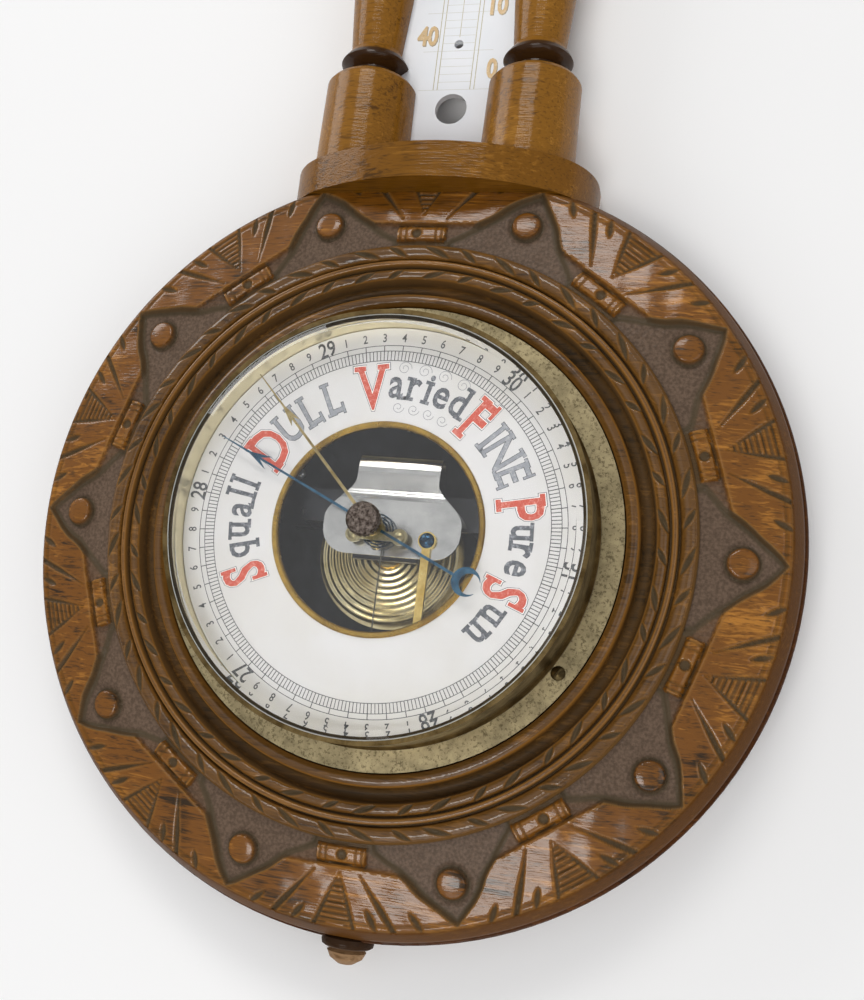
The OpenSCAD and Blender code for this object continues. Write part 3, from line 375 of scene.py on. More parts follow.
def window_glass(name):
    """Clear bevelled glass with a pale ground edge and faint smears.

    It bends and mirrors what the eye sees, and lets the lamps through.
    """
    made, t, place = blank(name)
    smear = node(t, "ShaderNodeTexNoise", {"Vector": place, "Scale": 1 / (20 * MM), "Detail": 3.0})
    rough = node(t, "ShaderNodeMapRange", {"Value": smear, "From Min": 0.5, "From Max": 0.75,
                                           "To Max": 0.03})
    clear = node(t, "ShaderNodeBsdfPrincipled", {"Base Color": linear("#fcfcfc"), "Roughness": rough,
                                                 "IOR": 1.5, "Transmission Weight": 1.0})
    through = node(t, "ShaderNodeBsdfTransparent", {"Color": linear("#f8f8f8")})
    shadow = node(t, "ShaderNodeLightPath", out="Is Shadow Ray")
    pane = node(t, "ShaderNodeMixShader", {0: shadow, 1: clear, 2: through})
    ground = node(t, "ShaderNodeBsdfPrincipled", {"Base Color": linear("#e9ebe4"), "Roughness": 0.5})
    edge = node(t, "ShaderNodeMapRange", {
        "Value": axis_distance(t, place), "From Min": (GLASS_R - 1.2) * MM, "From Max": (GLASS_R - 0.9) * MM})
    mix = node(t, "ShaderNodeMixShader", {0: edge, 1: pane, 2: ground})
    node(t, "ShaderNodeOutputMaterial", {"Surface": mix})
    return made


def black_japan(name):
    """Japanned iron: a glossy blue-black skin with patches of grey dust about 5 mm across."""
    made, t, place = blank(name)
    dust = node(t, "ShaderNodeTexNoise", {"Vector": place, "Scale": 1 / (5 * MM), "Detail": 6.0,
                                          "Roughness": 0.7})
    colour = node(t, "ShaderNodeValToRGB", {"Fac": dust}, ((0.42, "#16181d"), (0.72, "#33363d")))
    rough = node(t, "ShaderNodeMapRange", {"Value": dust, "From Min": 0.4, "From Max": 0.7, "To Min": 0.3,
                                           "To Max": 0.55})
    shader = node(t, "ShaderNodeBsdfPrincipled", {"Base Color": colour, "Roughness": rough, "IOR": 1.5})
    node(t, "ShaderNodeOutputMaterial", {"Surface": shader})
    return made


# Settings

def length(name, description, default_mm, low_mm, high_mm):
    """A length setting, given in mm and kept in metres."""
    return bpy.props.FloatProperty(name=name, description=description, default=default_mm * MM,
                                   min=low_mm * MM, max=high_mm * MM, subtype="DISTANCE", unit="LENGTH",
                                   precision=4)


def tint(name, description, code):
    """A colour setting, given as an sRGB hex value and kept linear."""
    return bpy.props.FloatVectorProperty(name=name, description=description, default=linear(code),
                                         subtype="COLOR", size=4, min=0, max=1)


class BarometerSizes(bpy.types.PropertyGroup):
    """Sizes of the carving and the printing."""
    sunk_depth: length("Sunk depth", "Depth of the sunk triangles", 3.0, 1.0, 3.4)
    button_radius: length("Button radius", "Radius of the round buttons", 5.2, 3.0, 6.5)
    cut_depth: length("Cut depth", "Depth of the gouge cuts in the fans", 1.3, 0.4, 2.0)
    nick_depth: length("Nick depth", "Depth of the slanting nicks in the beads", 1.3, 0.3, 1.6)
    scale_radius: length("Scale radius", "Outer circle of the dial's scale", 66.0, 62.0, 67.0)
    dial_turn: bpy.props.FloatProperty(name="Dial turn", description="Clockwise turn of the dial in its case",
                                       default=math.radians(7.3), subtype="ANGLE", unit="ROTATION")


class BarometerColours(bpy.types.PropertyGroup):
    """Colours of the wood, the inks and the table."""
    wood_light: tint("Light wood", "Lightest grain", "#b0752a")
    wood_middle: tint("Wood", "Common tone of the wood", "#764810")
    wood_dark: tint("Dark wood", "Pores and dark grain", "#30200a")
    red_ink: tint("Red ink", "Initial letters", "#c64c36")
    grey_ink: tint("Grey ink", "Other letters", "#50545b")
    black_ink: tint("Black ink", "Scale and numbers", "#3a3d42")
    gold_ink: tint("Gold ink", "Thermometer numbers", "#cfac74")
    table: tint("Table", "Colour of the table", "#fafafa")


def size(name):
    """A length setting in mm."""
    return getattr(bpy.context.scene.barometer_sizes, name) / MM


def colours():
    """The colour settings."""
    return bpy.context.scene.barometer_colours


# Carved ring, in mm and degrees

# Radius and height of the fillet inside the fans and of their outer edge, and radius of the whole ring
FILLET_R, FILLET_H = 108.2, 37.2
FAN_R, RIM_H = 137.4, 32.2
RING_R = 142.0
# Rim moulding: distances beyond the fans and drops below their edge
RIM_SECTION = ((0.0, 0.2), (0.5, 0.7), (1.2, 1.7), (2.6, 4.4), (3.9, 6.6), (RING_R - FAN_R, 8.2))
# A point half way up the fillet's wall and one half way across the foot
FILLET_MID_H, FOOT_MID_R = 28.0, 125.0
# Clearance under the ring, and between its fans and its beads
FOOT_GAP, BEAD_GAP = 0.03, 0.02
# Rows across and steps around the fans and the beads, and the angle up to which they shade as round
FANS_MESH, BEADS_MESH = (52, 1560), (66, 1380)
CARVED_ANGLE = 50
FAN_COUNT = 10
FAN_ANGLE = 360.0 / FAN_COUNT
# Half width of a sunk triangle at distances out from the fillet, its end, and its wall's width and lean
SUNK_OUT = (0.0, 2.2, 4.5, 6.5, 12.5, 17.3, 22.0, 26.0, 28.6)
SUNK_HALF = (25.6, 23.4, 21.2, 19.2, 14.5, 11.2, 7.4, 3.4, 0.3)
SUNK_END, WALL_W, WALL_LEAN = 28.8, 1.7, 0.78
# Its bed rises between two distances, and is punched
BED_RISE, BED_FROM, BED_TO, PUNCH_DEPTH = 0.6, 12, 26, 0.045
# Its button: distance out, soft edge, sink and doming of the top, and the moat round it
BUTTON_OUT, BUTTON_EDGE, BUTTON_SINK, BUTTON_DOME = 14.4, 0.4, 0.2, 0.6
MOAT_DEPTH, MOAT_OUT, MOAT_W = 0.5, 0.8, 0.7
# The ladder of a fan: top, half width at the rim, half width and depth of its sides, bare ends, and rungs
LADDER_TOP, LADDER_HALF, LADDER_SIDE = 11.2, 7.0, (0.85, 1.0)
LADDER_BARE, LADDER_FOOT = 2.4, 0.9
RUNG_STEP, RUNG_DEPTH, RUNG_HALF = 1.9, 0.75, 0.32
# Cuts of half a fan: start and end, across and out, their shares of the cut's shift, half width, and whether
# the cut runs out at its end
FAN_CUTS = (((8.0, 10.6), (21.8, 27.8), (0.7, 0.0, 0.9), 1.15, True),
            ((10.9, 22.2), (15.2, 28.8), (0.5, 0.6, 0.5), 1.3, False),
            ((26.0, 20.6), (31.6, 26.4), (0.5, 0.6, 0.5), 1.3, False))
# Waves that the tool left on the face
WAVE_DEPTH, WAVE_X, WAVE_Y = 0.12, 2.6, 3.1
# The hollow at the inner end of a fan, and the fan's straight edge beside it
HOLLOW_DEPTH, HOLLOW_HALF, FAN_EDGE = 2.3, 22, 8.2
# The turned barrel in it: distance out, radius, half length, share that stands up, and its bands and hole
BARREL_OUT, BARREL_R, BARREL_HALF, BARREL_SHARE = 4.4, 3.1, 9.4, 0.88
BAND_PLACES, BAND_HALF, BAND_DEPTH = (3.4, 1.2), 0.5, 0.4
HOLE_OUTER, HOLE_INNER, HOLE_DEPTH = 2.2, 1.4, 1.4
RIM_LINE_R, RIM_LINE_HALF, RIM_LINE_DEPTH = 135.6, 0.6, 0.45
# How far hand work strays: turns in degrees, waves in radians and the rest in mm
STRAY = {"sunk_turn": 0.2, "sunk_wave": 3.0, "button_across": 0.3, "button_out": 0.4, "fan_turn": 0.35,
         "ladder_top": 0.5, "left_cuts": 1.0, "right_cuts": 1.0, "barrel_half": 0.4, "hole_across": 0.8,
         "wave_across": 3.0, "wave_out": 3.0}
# How dark dirt and painted shade make each kind of recess
DIRT_AND_SHADE = {"wall": 0.8, "foot": 0.95, "button": 0.9, "band": 0.6, "hole": 0.9, "hollow": 0.8, "cut": 0.9,
        "line": 0.55, "rim": 0.4, "nick": 0.85, "seam": 0.75, "cove": 0.4}
# Rise over the points near by at which an edge is fully lightened, for wear and a painted highlight, and the
# depth of cut from which none is
CREST_RISE, CREST_CUT = 0.6, 0.4


def gouge(x, y, start, end, width, depth, runs_out=False):
    """Depth of a gouge cut between two points, pointed at both ends or running out at the second."""
    dx, dy = end[0] - start[0], end[1] - start[1]
    t = np.clip(((x - start[0]) * dx + (y - start[1]) * dy) / (dx * dx + dy * dy), 0, 1)
    off = np.hypot(x - start[0] - t * dx, y - start[1] - t * dy)
    swell = 0.3 + 0.7 * ease(0, 0.7, t) if runs_out else np.sin(np.pi * np.clip(t, 0.03, 0.97)) ** 0.6
    return depth * swell * vee(off, 0, width * swell)


def rolled_ring(around, radii, heights, carved, carve):
    """A sheet of quads rolled into a closed ring about the dial axis, then carved.

    radii and heights are the closed section in mm, and carved is the slice of it that the tools reach.
    carve gives, for arrays of radius and clockwise angle, the depth cut, how dark the cut is and how much
    is sunk ground. The rim beyond the fans is stained.
    """
    rows = len(radii)
    clear_selection()
    bpy.ops.mesh.primitive_grid_add(x_subdivisions=around, y_subdivisions=rows, size=1)
    piece = bpy.context.object
    mesh = piece.data
    flat = np.empty(len(mesh.vertices) * 3)
    mesh.vertices.foreach_get("co", flat)
    flat = flat.reshape(-1, 3)
    i = np.rint((flat[:, 0] + 0.5) * around).astype(int) % around
    j = np.rint((flat[:, 1] + 0.5) * rows).astype(int) % rows

    r = np.repeat(np.array(radii)[:, None], around, axis=1)
    a = np.repeat((np.arange(around) * 360.0 / around)[None, :], rows, axis=0)
    h = np.repeat(np.array(heights)[:, None], around, axis=1)
    reached = np.zeros_like(r)
    reached[carved] = 1
    depth, dark, ground = (values * reached for values in carve(r, a))
    h = h - depth
    near = (np.roll(h, 2, 1) + np.roll(h, -2, 1) + np.roll(h, 2, 0) + np.roll(h, -2, 0)) / 4
    # Raised edges are lightened, for wear and a painted highlight
    crest = np.clip((h - near) / CREST_RISE, 0, 1) * (depth < CREST_CUT) * reached
    stain = ease(FAN_R + 0.1, FAN_R + 0.6, r)
    spin = np.radians(a)
    co = np.stack([r * np.sin(spin), -h, r * np.cos(spin)], axis=-1) * MM
    mesh.vertices.foreach_set("co", co[j, i].ravel())
    for mark, values in zip(CARVED_MARKS, (dark, ground, crest, stain)):
        points = mesh.attributes.new(mark, "FLOAT", "POINT").data
        points.foreach_set("value", values[j, i].astype(np.float32))
    mesh.update()
    weld(piece)
    edit_all()
    bpy.ops.mesh.bisect(plane_co=(0, 0, FLAT_Z * MM), plane_no=(0, 0, 1), use_fill=True, clear_outer=True)
    bpy.ops.object.mode_set(mode="OBJECT")
    return piece


def carve_fans(r, a):
    """Depth, darkening for dirt and painted shade, and ground of the ten fans and the ten sunk triangles
    between them.
    """
    rng = np.random.default_rng(11)
    draws = rng.normal(0, 1, (len(STRAY), FAN_COUNT))
    stray = {name: far * draw for (name, far), draw in zip(STRAY.items(), draws)}
    punched = rng.normal(0, 1, r.shape)
    button_r = size("button_radius")

    # Sunk triangles with their buttons
    k = np.floor(a / FAN_ANGLE).astype(int) % FAN_COUNT
    turn = np.radians(a - (k + 0.5) * FAN_ANGLE + stray["sunk_turn"][k])
    x, y = r * np.sin(turn), r * np.cos(turn) - FILLET_R
    half = np.interp(y, SUNK_OUT, SUNK_HALF) + 0.3 * np.sin(0.5 * y + stray["sunk_wave"][k] + np.sign(x))
    inside = np.minimum(WALL_LEAN * (half - np.abs(x)), SUNK_END - y)
    sunk = ease(0, WALL_W, inside)
    bed = size("sunk_depth") - BED_RISE * ease(BED_FROM, BED_TO, y) + PUNCH_DEPTH * punched
    off = np.hypot(x - stray["button_across"][k], y - BUTTON_OUT - stray["button_out"][k])
    on_button = ease(button_r + BUTTON_EDGE, button_r - BUTTON_EDGE, off)
    moat = MOAT_DEPTH * bell(off, button_r + MOAT_OUT, MOAT_W)
    top = BUTTON_SINK + BUTTON_DOME * np.clip(off / button_r, 0, 1) ** 3
    depth = sunk * ((bed + moat) * (1 - on_button) + top * on_button)
    ground = ease(0.5 * WALL_W, WALL_W, inside) * (1 - on_button)
    foot_line = bell(inside, WALL_W, 0.5)
    wall = ease(-0.3, 0.3, inside) * ease(1.9 * WALL_W, 1.2 * WALL_W, inside)
    # The walls, their foot and the moat round a button are darkened, for dirt and painted shade
    dark = np.maximum(DIRT_AND_SHADE["wall"] * wall, DIRT_AND_SHADE["foot"] * foot_line) * (1 - on_button)
    dark = np.maximum(dark, DIRT_AND_SHADE["button"] * bell(off, button_r + 0.5, 0.6) * sunk)

    # Fans with their cuts and ladders
    k = np.rint(a / FAN_ANGLE).astype(int) % FAN_COUNT
    turn = np.radians((a - k * FAN_ANGLE + 180) % 360 - 180 + stray["fan_turn"][k])
    x, y = r * np.sin(turn), r * np.cos(turn) - FILLET_R
    fan_end = FAN_R - FILLET_R
    ladder_top = LADDER_TOP + stray["ladder_top"][k]
    slope = LADDER_HALF / (fan_end - LADDER_TOP)
    cut = np.zeros_like(x)
    for side, shift in ((-1, stray["left_cuts"][k]), (1, stray["right_cuts"][k])):
        foot = (side * (LADDER_HALF + 0.4 * shift), fan_end)
        cut = np.maximum(cut, gouge(x, y, (0, ladder_top), foot, *LADDER_SIDE, True))
        for (x0, y0), (x1, y1), (move_x0, move_y0, move_x1), width, runs_out in FAN_CUTS:
            start = (side * (x0 + move_x0 * shift), y0 + move_y0 * shift)
            end = (side * (x1 + move_x1 * shift), y1)
            cut = np.maximum(cut, gouge(x, y, start, end, width, size("cut_depth"), runs_out))
    climb = y - ladder_top
    in_ladder = (np.abs(x) < slope * climb) & (climb > LADDER_BARE) & (y < fan_end - LADDER_FOOT)
    rung = RUNG_DEPTH * vee(climb / RUNG_STEP % 1, 0.5, RUNG_HALF)
    on_face = (inside < -0.1) & (y > FAN_EDGE + 0.7)
    cut = np.where(in_ladder, np.maximum(cut, rung), cut) * on_face
    wave = np.sin(x / WAVE_X + stray["wave_across"][k]) * np.sin(y / WAVE_Y + stray["wave_out"][k])

    # Hollow and barrel at the inner end of each fan
    hollow = ease(FAN_EDGE + 0.9, FAN_EDGE - 0.7, y) * ease(HOLLOW_HALF + 2, HOLLOW_HALF, np.abs(x))
    swell = np.sqrt(np.clip(BARREL_R ** 2 - (y - BARREL_OUT) ** 2, 0, None))
    half = BARREL_HALF + stray["barrel_half"][k]
    barrel = swell * ease(half + 0.5, half - 0.3, np.abs(x))
    bands = np.maximum(*(vee(np.abs(x), half - place, BAND_HALF) for place in BAND_PLACES))
    hole = ease(HOLE_OUTER, HOLE_INNER, np.hypot(x + stray["hole_across"][k], y - BARREL_OUT))
    lift = np.where(barrel > 0.05, BARREL_SHARE * barrel - BAND_DEPTH * bands - HOLE_DEPTH * hole, 0)
    # The face is lowered by the height of its waves, so that it stays under the part's own face
    depth = np.maximum(depth, HOLLOW_DEPTH * hollow) + cut + WAVE_DEPTH * (1 + wave) * on_face - lift
    bare = hollow * (barrel < 0.6)
    ground = np.maximum(ground, 0.85 * bare * (np.abs(x) > half - 0.2)) * (1 - ease(0.3, 1.0, barrel))
    # The barrel's bands and hole, the hollow and the cuts are darkened, for dirt and painted shade
    dark = np.where(barrel > 0.3, np.maximum(DIRT_AND_SHADE["band"] * bands, DIRT_AND_SHADE["hole"] * hole), dark)
    dark = np.maximum(dark, DIRT_AND_SHADE["hollow"] * bare * (np.abs(x) < half + 0.3))
    dark = np.maximum(dark, DIRT_AND_SHADE["cut"] * np.clip(cut / 0.6, 0, 1))

    # A thin line along the rim, and dirt with painted shade in the hollow of the rim moulding
    line = vee(r, RIM_LINE_R, RIM_LINE_HALF) * (inside < 0)
    depth = np.maximum(depth, RIM_LINE_DEPTH * line)
    dark = np.maximum(dark, DIRT_AND_SHADE["line"] * line)
    dark = np.maximum(dark, DIRT_AND_SHADE["rim"] * bell(r, FAN_R + 0.5, 0.7))
    return depth, dark, ground


# Turned mouldings between the flange and the fans: radius of the middle, top height and radius of each bead
BEADS = ((105.0, 38.2, 3.0), (100.3, 38.6, 1.1), (96.4, 37.8, 2.3), (86.75, 37.4, 2.45))
COVE_R, COVE_HALF, COVE_H = 91.65, 2.45, 32.65
# Inner radius and common height of the mouldings, and how far their inner edge is rounded down
MOULDING_R, MOULDING_H, LIP_DROP = 84.32, 35.5, 0.9
# The two nicked beads: radius, half width, number of nicks, half length and lean of a nick
NICKED = ((105.0, 2.9, 50, 4.9, -2.0), (96.4, 2.2, 46, 4.3, 1.6))
# A nick's half width, the length of a short one, and shifts along the bead: each its own, and in pairs
NICK_W, SHORT_NICK, NICK_SHIFT, PAIR_SHIFT = 1.25, 0.68, 0.6, 1.1
# Seams between the mouldings, darkened for dirt and painted shade, and the radii between which dirt and painted
# shade darken both sides of the cove
SEAMS, SEAM_HALF = (101.7, 98.95, 108.0, 94.2), 0.7
COVE_DIRT_AND_SHADE_IN, COVE_DIRT_AND_SHADE_OUT = (89.0, 90.2), (94.3, 93.0)


def moulding_heights(r):
    """Height of the turned mouldings at given radii."""
    h = np.full_like(r, MOULDING_H)
    for centre, top, radius in BEADS:
        bulge = np.sqrt(np.clip(radius ** 2 - (r - centre) ** 2, 0, None))
        h = np.where(np.abs(r - centre) < radius, np.maximum(h, top - radius + bulge), h)
    bottom = COVE_H - np.sqrt(np.clip(COVE_HALF ** 2 - (r - COVE_R) ** 2, 0, None))
    return np.where(np.abs(r - COVE_R) < COVE_HALF, bottom, h)


def carve_nicks(r, a):
    """Slanting leaf-shaped nicks along the two carved beads, long and short by turns."""
    depth = np.zeros_like(r)
    dark = np.zeros_like(r)
    for centre, half, count, reach, lean in NICKED:
        turn = a * count / 360.0
        index = np.floor(turn).astype(int)
        pitch = 2 * math.pi * centre / count
        odd = index % 2
        # The sine of many turns scatters the shifts
        shift = NICK_SHIFT * np.sin(index * 12.9898) + PAIR_SHIFT * (odd - 0.5)
        along = (turn - index - 0.5) * pitch + shift
        grow = np.where(odd == 0, 1.0, SHORT_NICK)
        out = r - centre
        cut = gouge(along / grow, out, (-reach, -lean), (reach, lean), NICK_W, size("nick_depth"))
        cut = cut * ease(half, half - 0.5, np.abs(out))
        depth = np.maximum(depth, cut)
        # Nicks are darkened, for dirt and painted shade
        dark = np.maximum(dark, DIRT_AND_SHADE["nick"] * np.clip(cut / 0.5, 0, 1))
    # Seams and the sides of the cove are darkened, for dirt and painted shade
    for place in SEAMS:
        dark = np.maximum(dark, DIRT_AND_SHADE["seam"] * vee(r, place, SEAM_HALF))
    dark = np.maximum(dark, DIRT_AND_SHADE["cove"] * ease(*COVE_DIRT_AND_SHADE_IN, r) * ease(*COVE_DIRT_AND_SHADE_OUT, r))
    return depth, dark, np.zeros_like(r)


class BAROMETER_OT_carved_ring(bpy.types.Operator):
    """Carves the fans, sunk triangles, buttons and beads of the round head"""
    bl_idname = "barometer.carved_ring"
    bl_label = "Carved ring"

    def execute(self, context):
        c = colours()
        wood = walnut("varnished carved walnut", c.wood_light, c.wood_middle, c.wood_dark, carved=True)
        foot = BOARD_H + FOOT_GAP
        rows, around = FANS_MESH
        across = np.linspace(FILLET_R + 0.2, FAN_R - 0.3, rows)
        slope = FILLET_H - (across - FILLET_R) * (FILLET_H - RIM_H) / (FAN_R - FILLET_R)
        rim_r = [FAN_R + out for out, _ in RIM_SECTION]
        rim_h = [RIM_H - drop for _, drop in RIM_SECTION]
        radii = [FILLET_R, FILLET_R, FILLET_R, *across, *rim_r, RING_R, FOOT_MID_R]
        heights = [foot, FILLET_MID_H, FILLET_H, *slope, *rim_h, foot, foot]
        fans = rolled_ring(around, radii, heights, slice(2, 4 + rows), carve_fans)
        settle(fans, "carved_fans", CASE, wood, CARVED_ANGLE)
        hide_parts("carved_surround")

        inner, outer = MOULDING_R, FILLET_R - BEAD_GAP
        rows, around = BEADS_MESH
        across = np.linspace(inner + 0.2, outer, rows)
        radii = [inner, inner, *across, outer, (inner + outer) / 2]
        heights = [foot, MOULDING_H - LIP_DROP, *moulding_heights(across), foot, foot]
        beads = rolled_ring(around, radii, heights, slice(2, 2 + rows), carve_nicks)
        deep = walnut("dark varnished carved walnut", "#92652c", "#60411b", "#31200d", carved=True)
        settle(beads, "carved_beads", CASE, deep, CARVED_ANGLE)
        return {"FINISHED"}


# Levels of the dark collars, painted nearly black for dark stain and painted shade in their recess: one on the
# finial, and on a column one above its foot and one below its cap
FINIAL_COLLARS = ((FINIAL_Z + 5.4, FINIAL_Z + 24.0),)
COLUMN_COLLARS = ((PLINTH_TOP + 38.5, PLINTH_TOP + 48.0), (CORNICE_Z - 38.0, CORNICE_Z - 27.5))


class BAROMETER_OT_woodwork(bpy.types.Operator):
    """Stains and varnishes the board, plinths, columns, crest and finial"""
    bl_idname = "barometer.woodwork"
    bl_label = "Woodwork"

    def execute(self, context):
        smooth(["case_back"], walnut("dark stained walnut", "#6a3f1c", "#4a2a12", "#2a160a", 0.12))
        # The drop is worn to bare wood below its dark collar
        smooth(["drop_finial"], walnut("worn bare walnut", "#b08d68", "#957554", "#694d33", 0.1,
                                       collars=FINIAL_COLLARS))
        smooth(["lower_plinth", "upper_plinth", "crest"],
               walnut("golden walnut plinth", "#956520", "#774d10", "#4c300a", 0.35))
        smooth(["left_column", "right_column"],
               walnut("golden turned walnut", "#a7752a", "#875a17", "#55360c", 0.4, collars=COLUMN_COLLARS))
        return {"FINISHED"}


# Printing, in mm

# Thickness of the ink and how far its middle stands off the face
PRINT_T, PRINT_OFF = 0.02, 0.006
PRINT_H = DIAL_H + PRINT_OFF
PLATE_PRINT_H = PLATE_H + PRINT_OFF
# The dial's scale: turn of one inch, first inch, number of inches, and the reading at the dial's top
INCH = math.radians(60.0)
FIRST_INCH, INCHES, TOP_INCH = 26, 6, 29.5
# Band of fine ticks, as insets from the outer circle, ticks in an inch and steps round a circle
BAND_INSETS, FINE_TICKS, CIRCLE_STEPS = (5.5, 2.0), 50, 240
# Widths of the fine ticks, the ticks of tenths and the circles
FINE_W, TENTH_W, CIRCLE_W = 0.3, 0.32, 0.26
# Type size and added weight of the numbers of inches and tenths, and their distance outside the scale
INCH_TYPE, TENTH_TYPE, NUMBER_OUT = (8.0, 0.12), (4.3, 0.06), 2.9
# Shares of their width to which letters are narrowed: most of them, then initials and thermometer numbers
NARROW, NARROWER = 0.8, 0.74
# Height of capitals and digits, and of small letters, as shares of the type size
CAPITAL, SMALL = 0.69, 0.45
WORD_R, WORD_WEIGHT = 50.7, 0.28
# Weather words: text, clockwise degrees of the initial, the second and the last letter, and letter size
WORDS = (("Squall", -113.4, -103.4, -75.5, 15.5), ("DULL", -58.4, -46.6, -25.6, 17.0),
         ("Varied", -9.0, 0.9, 27.4, 15.5), ("FINE", 37.7, 46.6, 64.2, 17.0),
         ("Pure", 78.6, 87.2, 101.0, 15.0), ("Sun", 111.4, 120.6, 129.4, 15.0))
SLIM_LETTERS, SLIM_STEP = "lIi", 0.55
# Each initial is a red face on a white gap on a thin dark rim, with these added weights
INITIAL = 22.0
INITIAL_LAYERS = {"rim": 0.95, "gap": 0.7, "face": 0.35}
# Ends of strokes that carry a flat or an upright serif: places across and up the letter, from 0 to 1
FLAT_SERIFS = {
    "D": ((0.1, 0), (0.1, 1)), "V": ((0.08, 1), (0.92, 1)), "P": ((0.12, 0), (0.1, 1)),
    "F": ((0.14, 0), (0.1, 1)), "U": ((0.1, 1), (0.9, 1)), "L": ((0.14, 0), (0.14, 1)),
    "I": ((0.5, 0), (0.5, 1)), "N": ((0.08, 0), (0.06, 1), (0.92, 1)), "E": ((0.1, 0), (0.1, 1)),
    "q": ((0.86, 0),), "u": ((0.05, 1), (0.76, 1), (0.98, 0)), "l": ((0.5, 0), (0.3, 1)),
    "r": ((0.2, 0), (0.08, 1)), "i": ((0.5, 0), (0.3, 0.72)), "d": ((0.76, 1), (0.98, 0)),
    "n": ((0.1, 0), (0.9, 0), (0.06, 1)), "a": ((0.98, 0),)}
UPRIGHT_SERIFS = {"S": ((0.88, 0.86), (0.07, 0.14)), "F": ((0.97, 0.9),), "L": ((0.96, 0.1),),
                  "E": ((0.95, 0.92), (0.97, 0.08))}
# Length and thickness of a serif, as shares of the type size, and its depth, past the ink's so that no faces
# lie in one plane
SERIF, SERIF_T = (0.23, 0.05), 1.1 * PRINT_T
# Scrolls outside and inside one word: reach, turns, way round and distance out from the words' circle
SCROLLS = ((2.6, 1.6, 1, 7.2), (2.2, 1.4, -1, -7.0))
# Degrees of the first pair and from pair to pair, and number of pairs
SCROLL_START, SCROLL_STEP, SCROLL_PAIRS = 3.0, 7.4, 4
# Steps along a scroll, share of its reach that it closes in, radius of its line and how flat the line is
SCROLL_STEPS, SCROLL_CLOSE, SCROLL_LINE, SCROLL_FLAT = 28, 0.8, 0.1, 0.1


def block(middle, sides):
    """A box about a middle point, as the start of a printed mark."""
    clear_selection()
    bpy.ops.mesh.primitive_cube_add(size=1)
    piece = bpy.context.object
    piece.location = Vector(middle) * MM
    piece.scale = Vector(sides) * MM
    bpy.ops.object.transform_apply()
    return piece


def joined(pieces):
    """Joins loose letters or marks into one object."""
    clear_selection()
    for piece in pieces:
        piece.select_set(True)
    bpy.context.view_layer.objects.active = pieces[0]
    bpy.ops.object.join()
    return bpy.context.object


def printed(name, made, marks):
    """Ends a group of printed marks as one piece of the case."""
    settle(joined(marks), name, CASE, made)


def stamp(piece, radius, angle, height, stretch=1.0):
    """Puts a flat mesh on the dial, upright at a clockwise angle."""
    only(piece)
    place = Vector((radius * math.sin(angle), -height, radius * math.cos(angle))) * MM
    piece.matrix_world = (Matrix.Translation(place) @ Matrix.Rotation(angle, 4, "Y")
                          @ Matrix.Rotation(math.pi / 2, 4, "X") @ Matrix.Diagonal((stretch, 1, 1, 1)))
    bpy.ops.object.transform_apply()
    return piece


def letter(body, type_size, bold=0.0):
    """One letter or number as a thin mesh about its own middle, with its strokes widened by bold mm."""
    clear_selection()
    bpy.ops.object.text_add()
    text = bpy.context.object.data
    text.body = body
    text.size = type_size * MM
    text.offset = bold * MM
    text.extrude = PRINT_T / 2 * MM
    text.resolution_u = 3
    bpy.ops.object.convert(target="MESH")
    piece = bpy.context.object
    low = np.min([v.co for v in piece.data.vertices], axis=0) / MM + bold
    high = np.max([v.co for v in piece.data.vertices], axis=0) / MM - bold
    long, thick = (share * type_size + 2 * bold for share in SERIF)
    bars = []
    for serifs, sides in ((FLAT_SERIFS, (long, thick)), (UPRIGHT_SERIFS, (thick, long))):
        for across, up in serifs.get(body, ()):
            middle = (low[0] + across * (high[0] - low[0]), low[1] + up * (high[1] - low[1]), 0)
            bars.append(block(middle, (*sides, SERIF_T)))
    if bars:
        piece = joined([piece, *bars])
    tall = SMALL if body.islower() else CAPITAL
    piece.location = Vector((-(low[0] + high[0]) / 2, -type_size * tall / 2, 0)) * MM
    bpy.ops.object.transform_apply()
    return piece


def dial_angle(inches):
    """Clockwise angle of a reading on the dial."""
    return bpy.context.scene.barometer_sizes.dial_turn + (inches - TOP_INCH) * INCH


def ticks(low, high, width, count):
    """Radial ticks all round the dial, from one radius to another, of which the first is at a whole inch."""
    piece = block((0, -PRINT_H, (low + high) / 2), (width, PRINT_T, high - low))
    piece.rotation_euler.y = dial_angle(math.ceil(TOP_INCH))
    bpy.ops.object.transform_apply()
    edit_all()
    bpy.ops.mesh.spin(steps=count - 1, dupli=True, angle=2 * math.pi * (count - 1) / count,
                      center=(0, 0, 0), axis=(0, 1, 0))
    bpy.ops.object.mode_set(mode="OBJECT")
    return piece


def circle_line(radius, width):
    """A thin printed circle about the dial axis, spun from the outline of its section."""
    clear_selection()
    bpy.ops.mesh.primitive_plane_add(size=1, rotation=(0, math.pi / 2, 0))
    piece = bpy.context.object
    bpy.ops.object.transform_apply()
    piece.scale = (1, PRINT_T * MM, width * MM)
    piece.location = Vector((0, -PRINT_H, radius)) * MM
    bpy.ops.object.transform_apply()
    edit_all()
    bpy.ops.mesh.delete(type="ONLY_FACE")
    bpy.ops.mesh.select_all(action="SELECT")
    bpy.ops.mesh.spin(steps=CIRCLE_STEPS, dupli=False, angle=2 * math.pi, center=(0, 0, 0), axis=(0, 1, 0))
    weld(piece, 1e-7)
    return piece


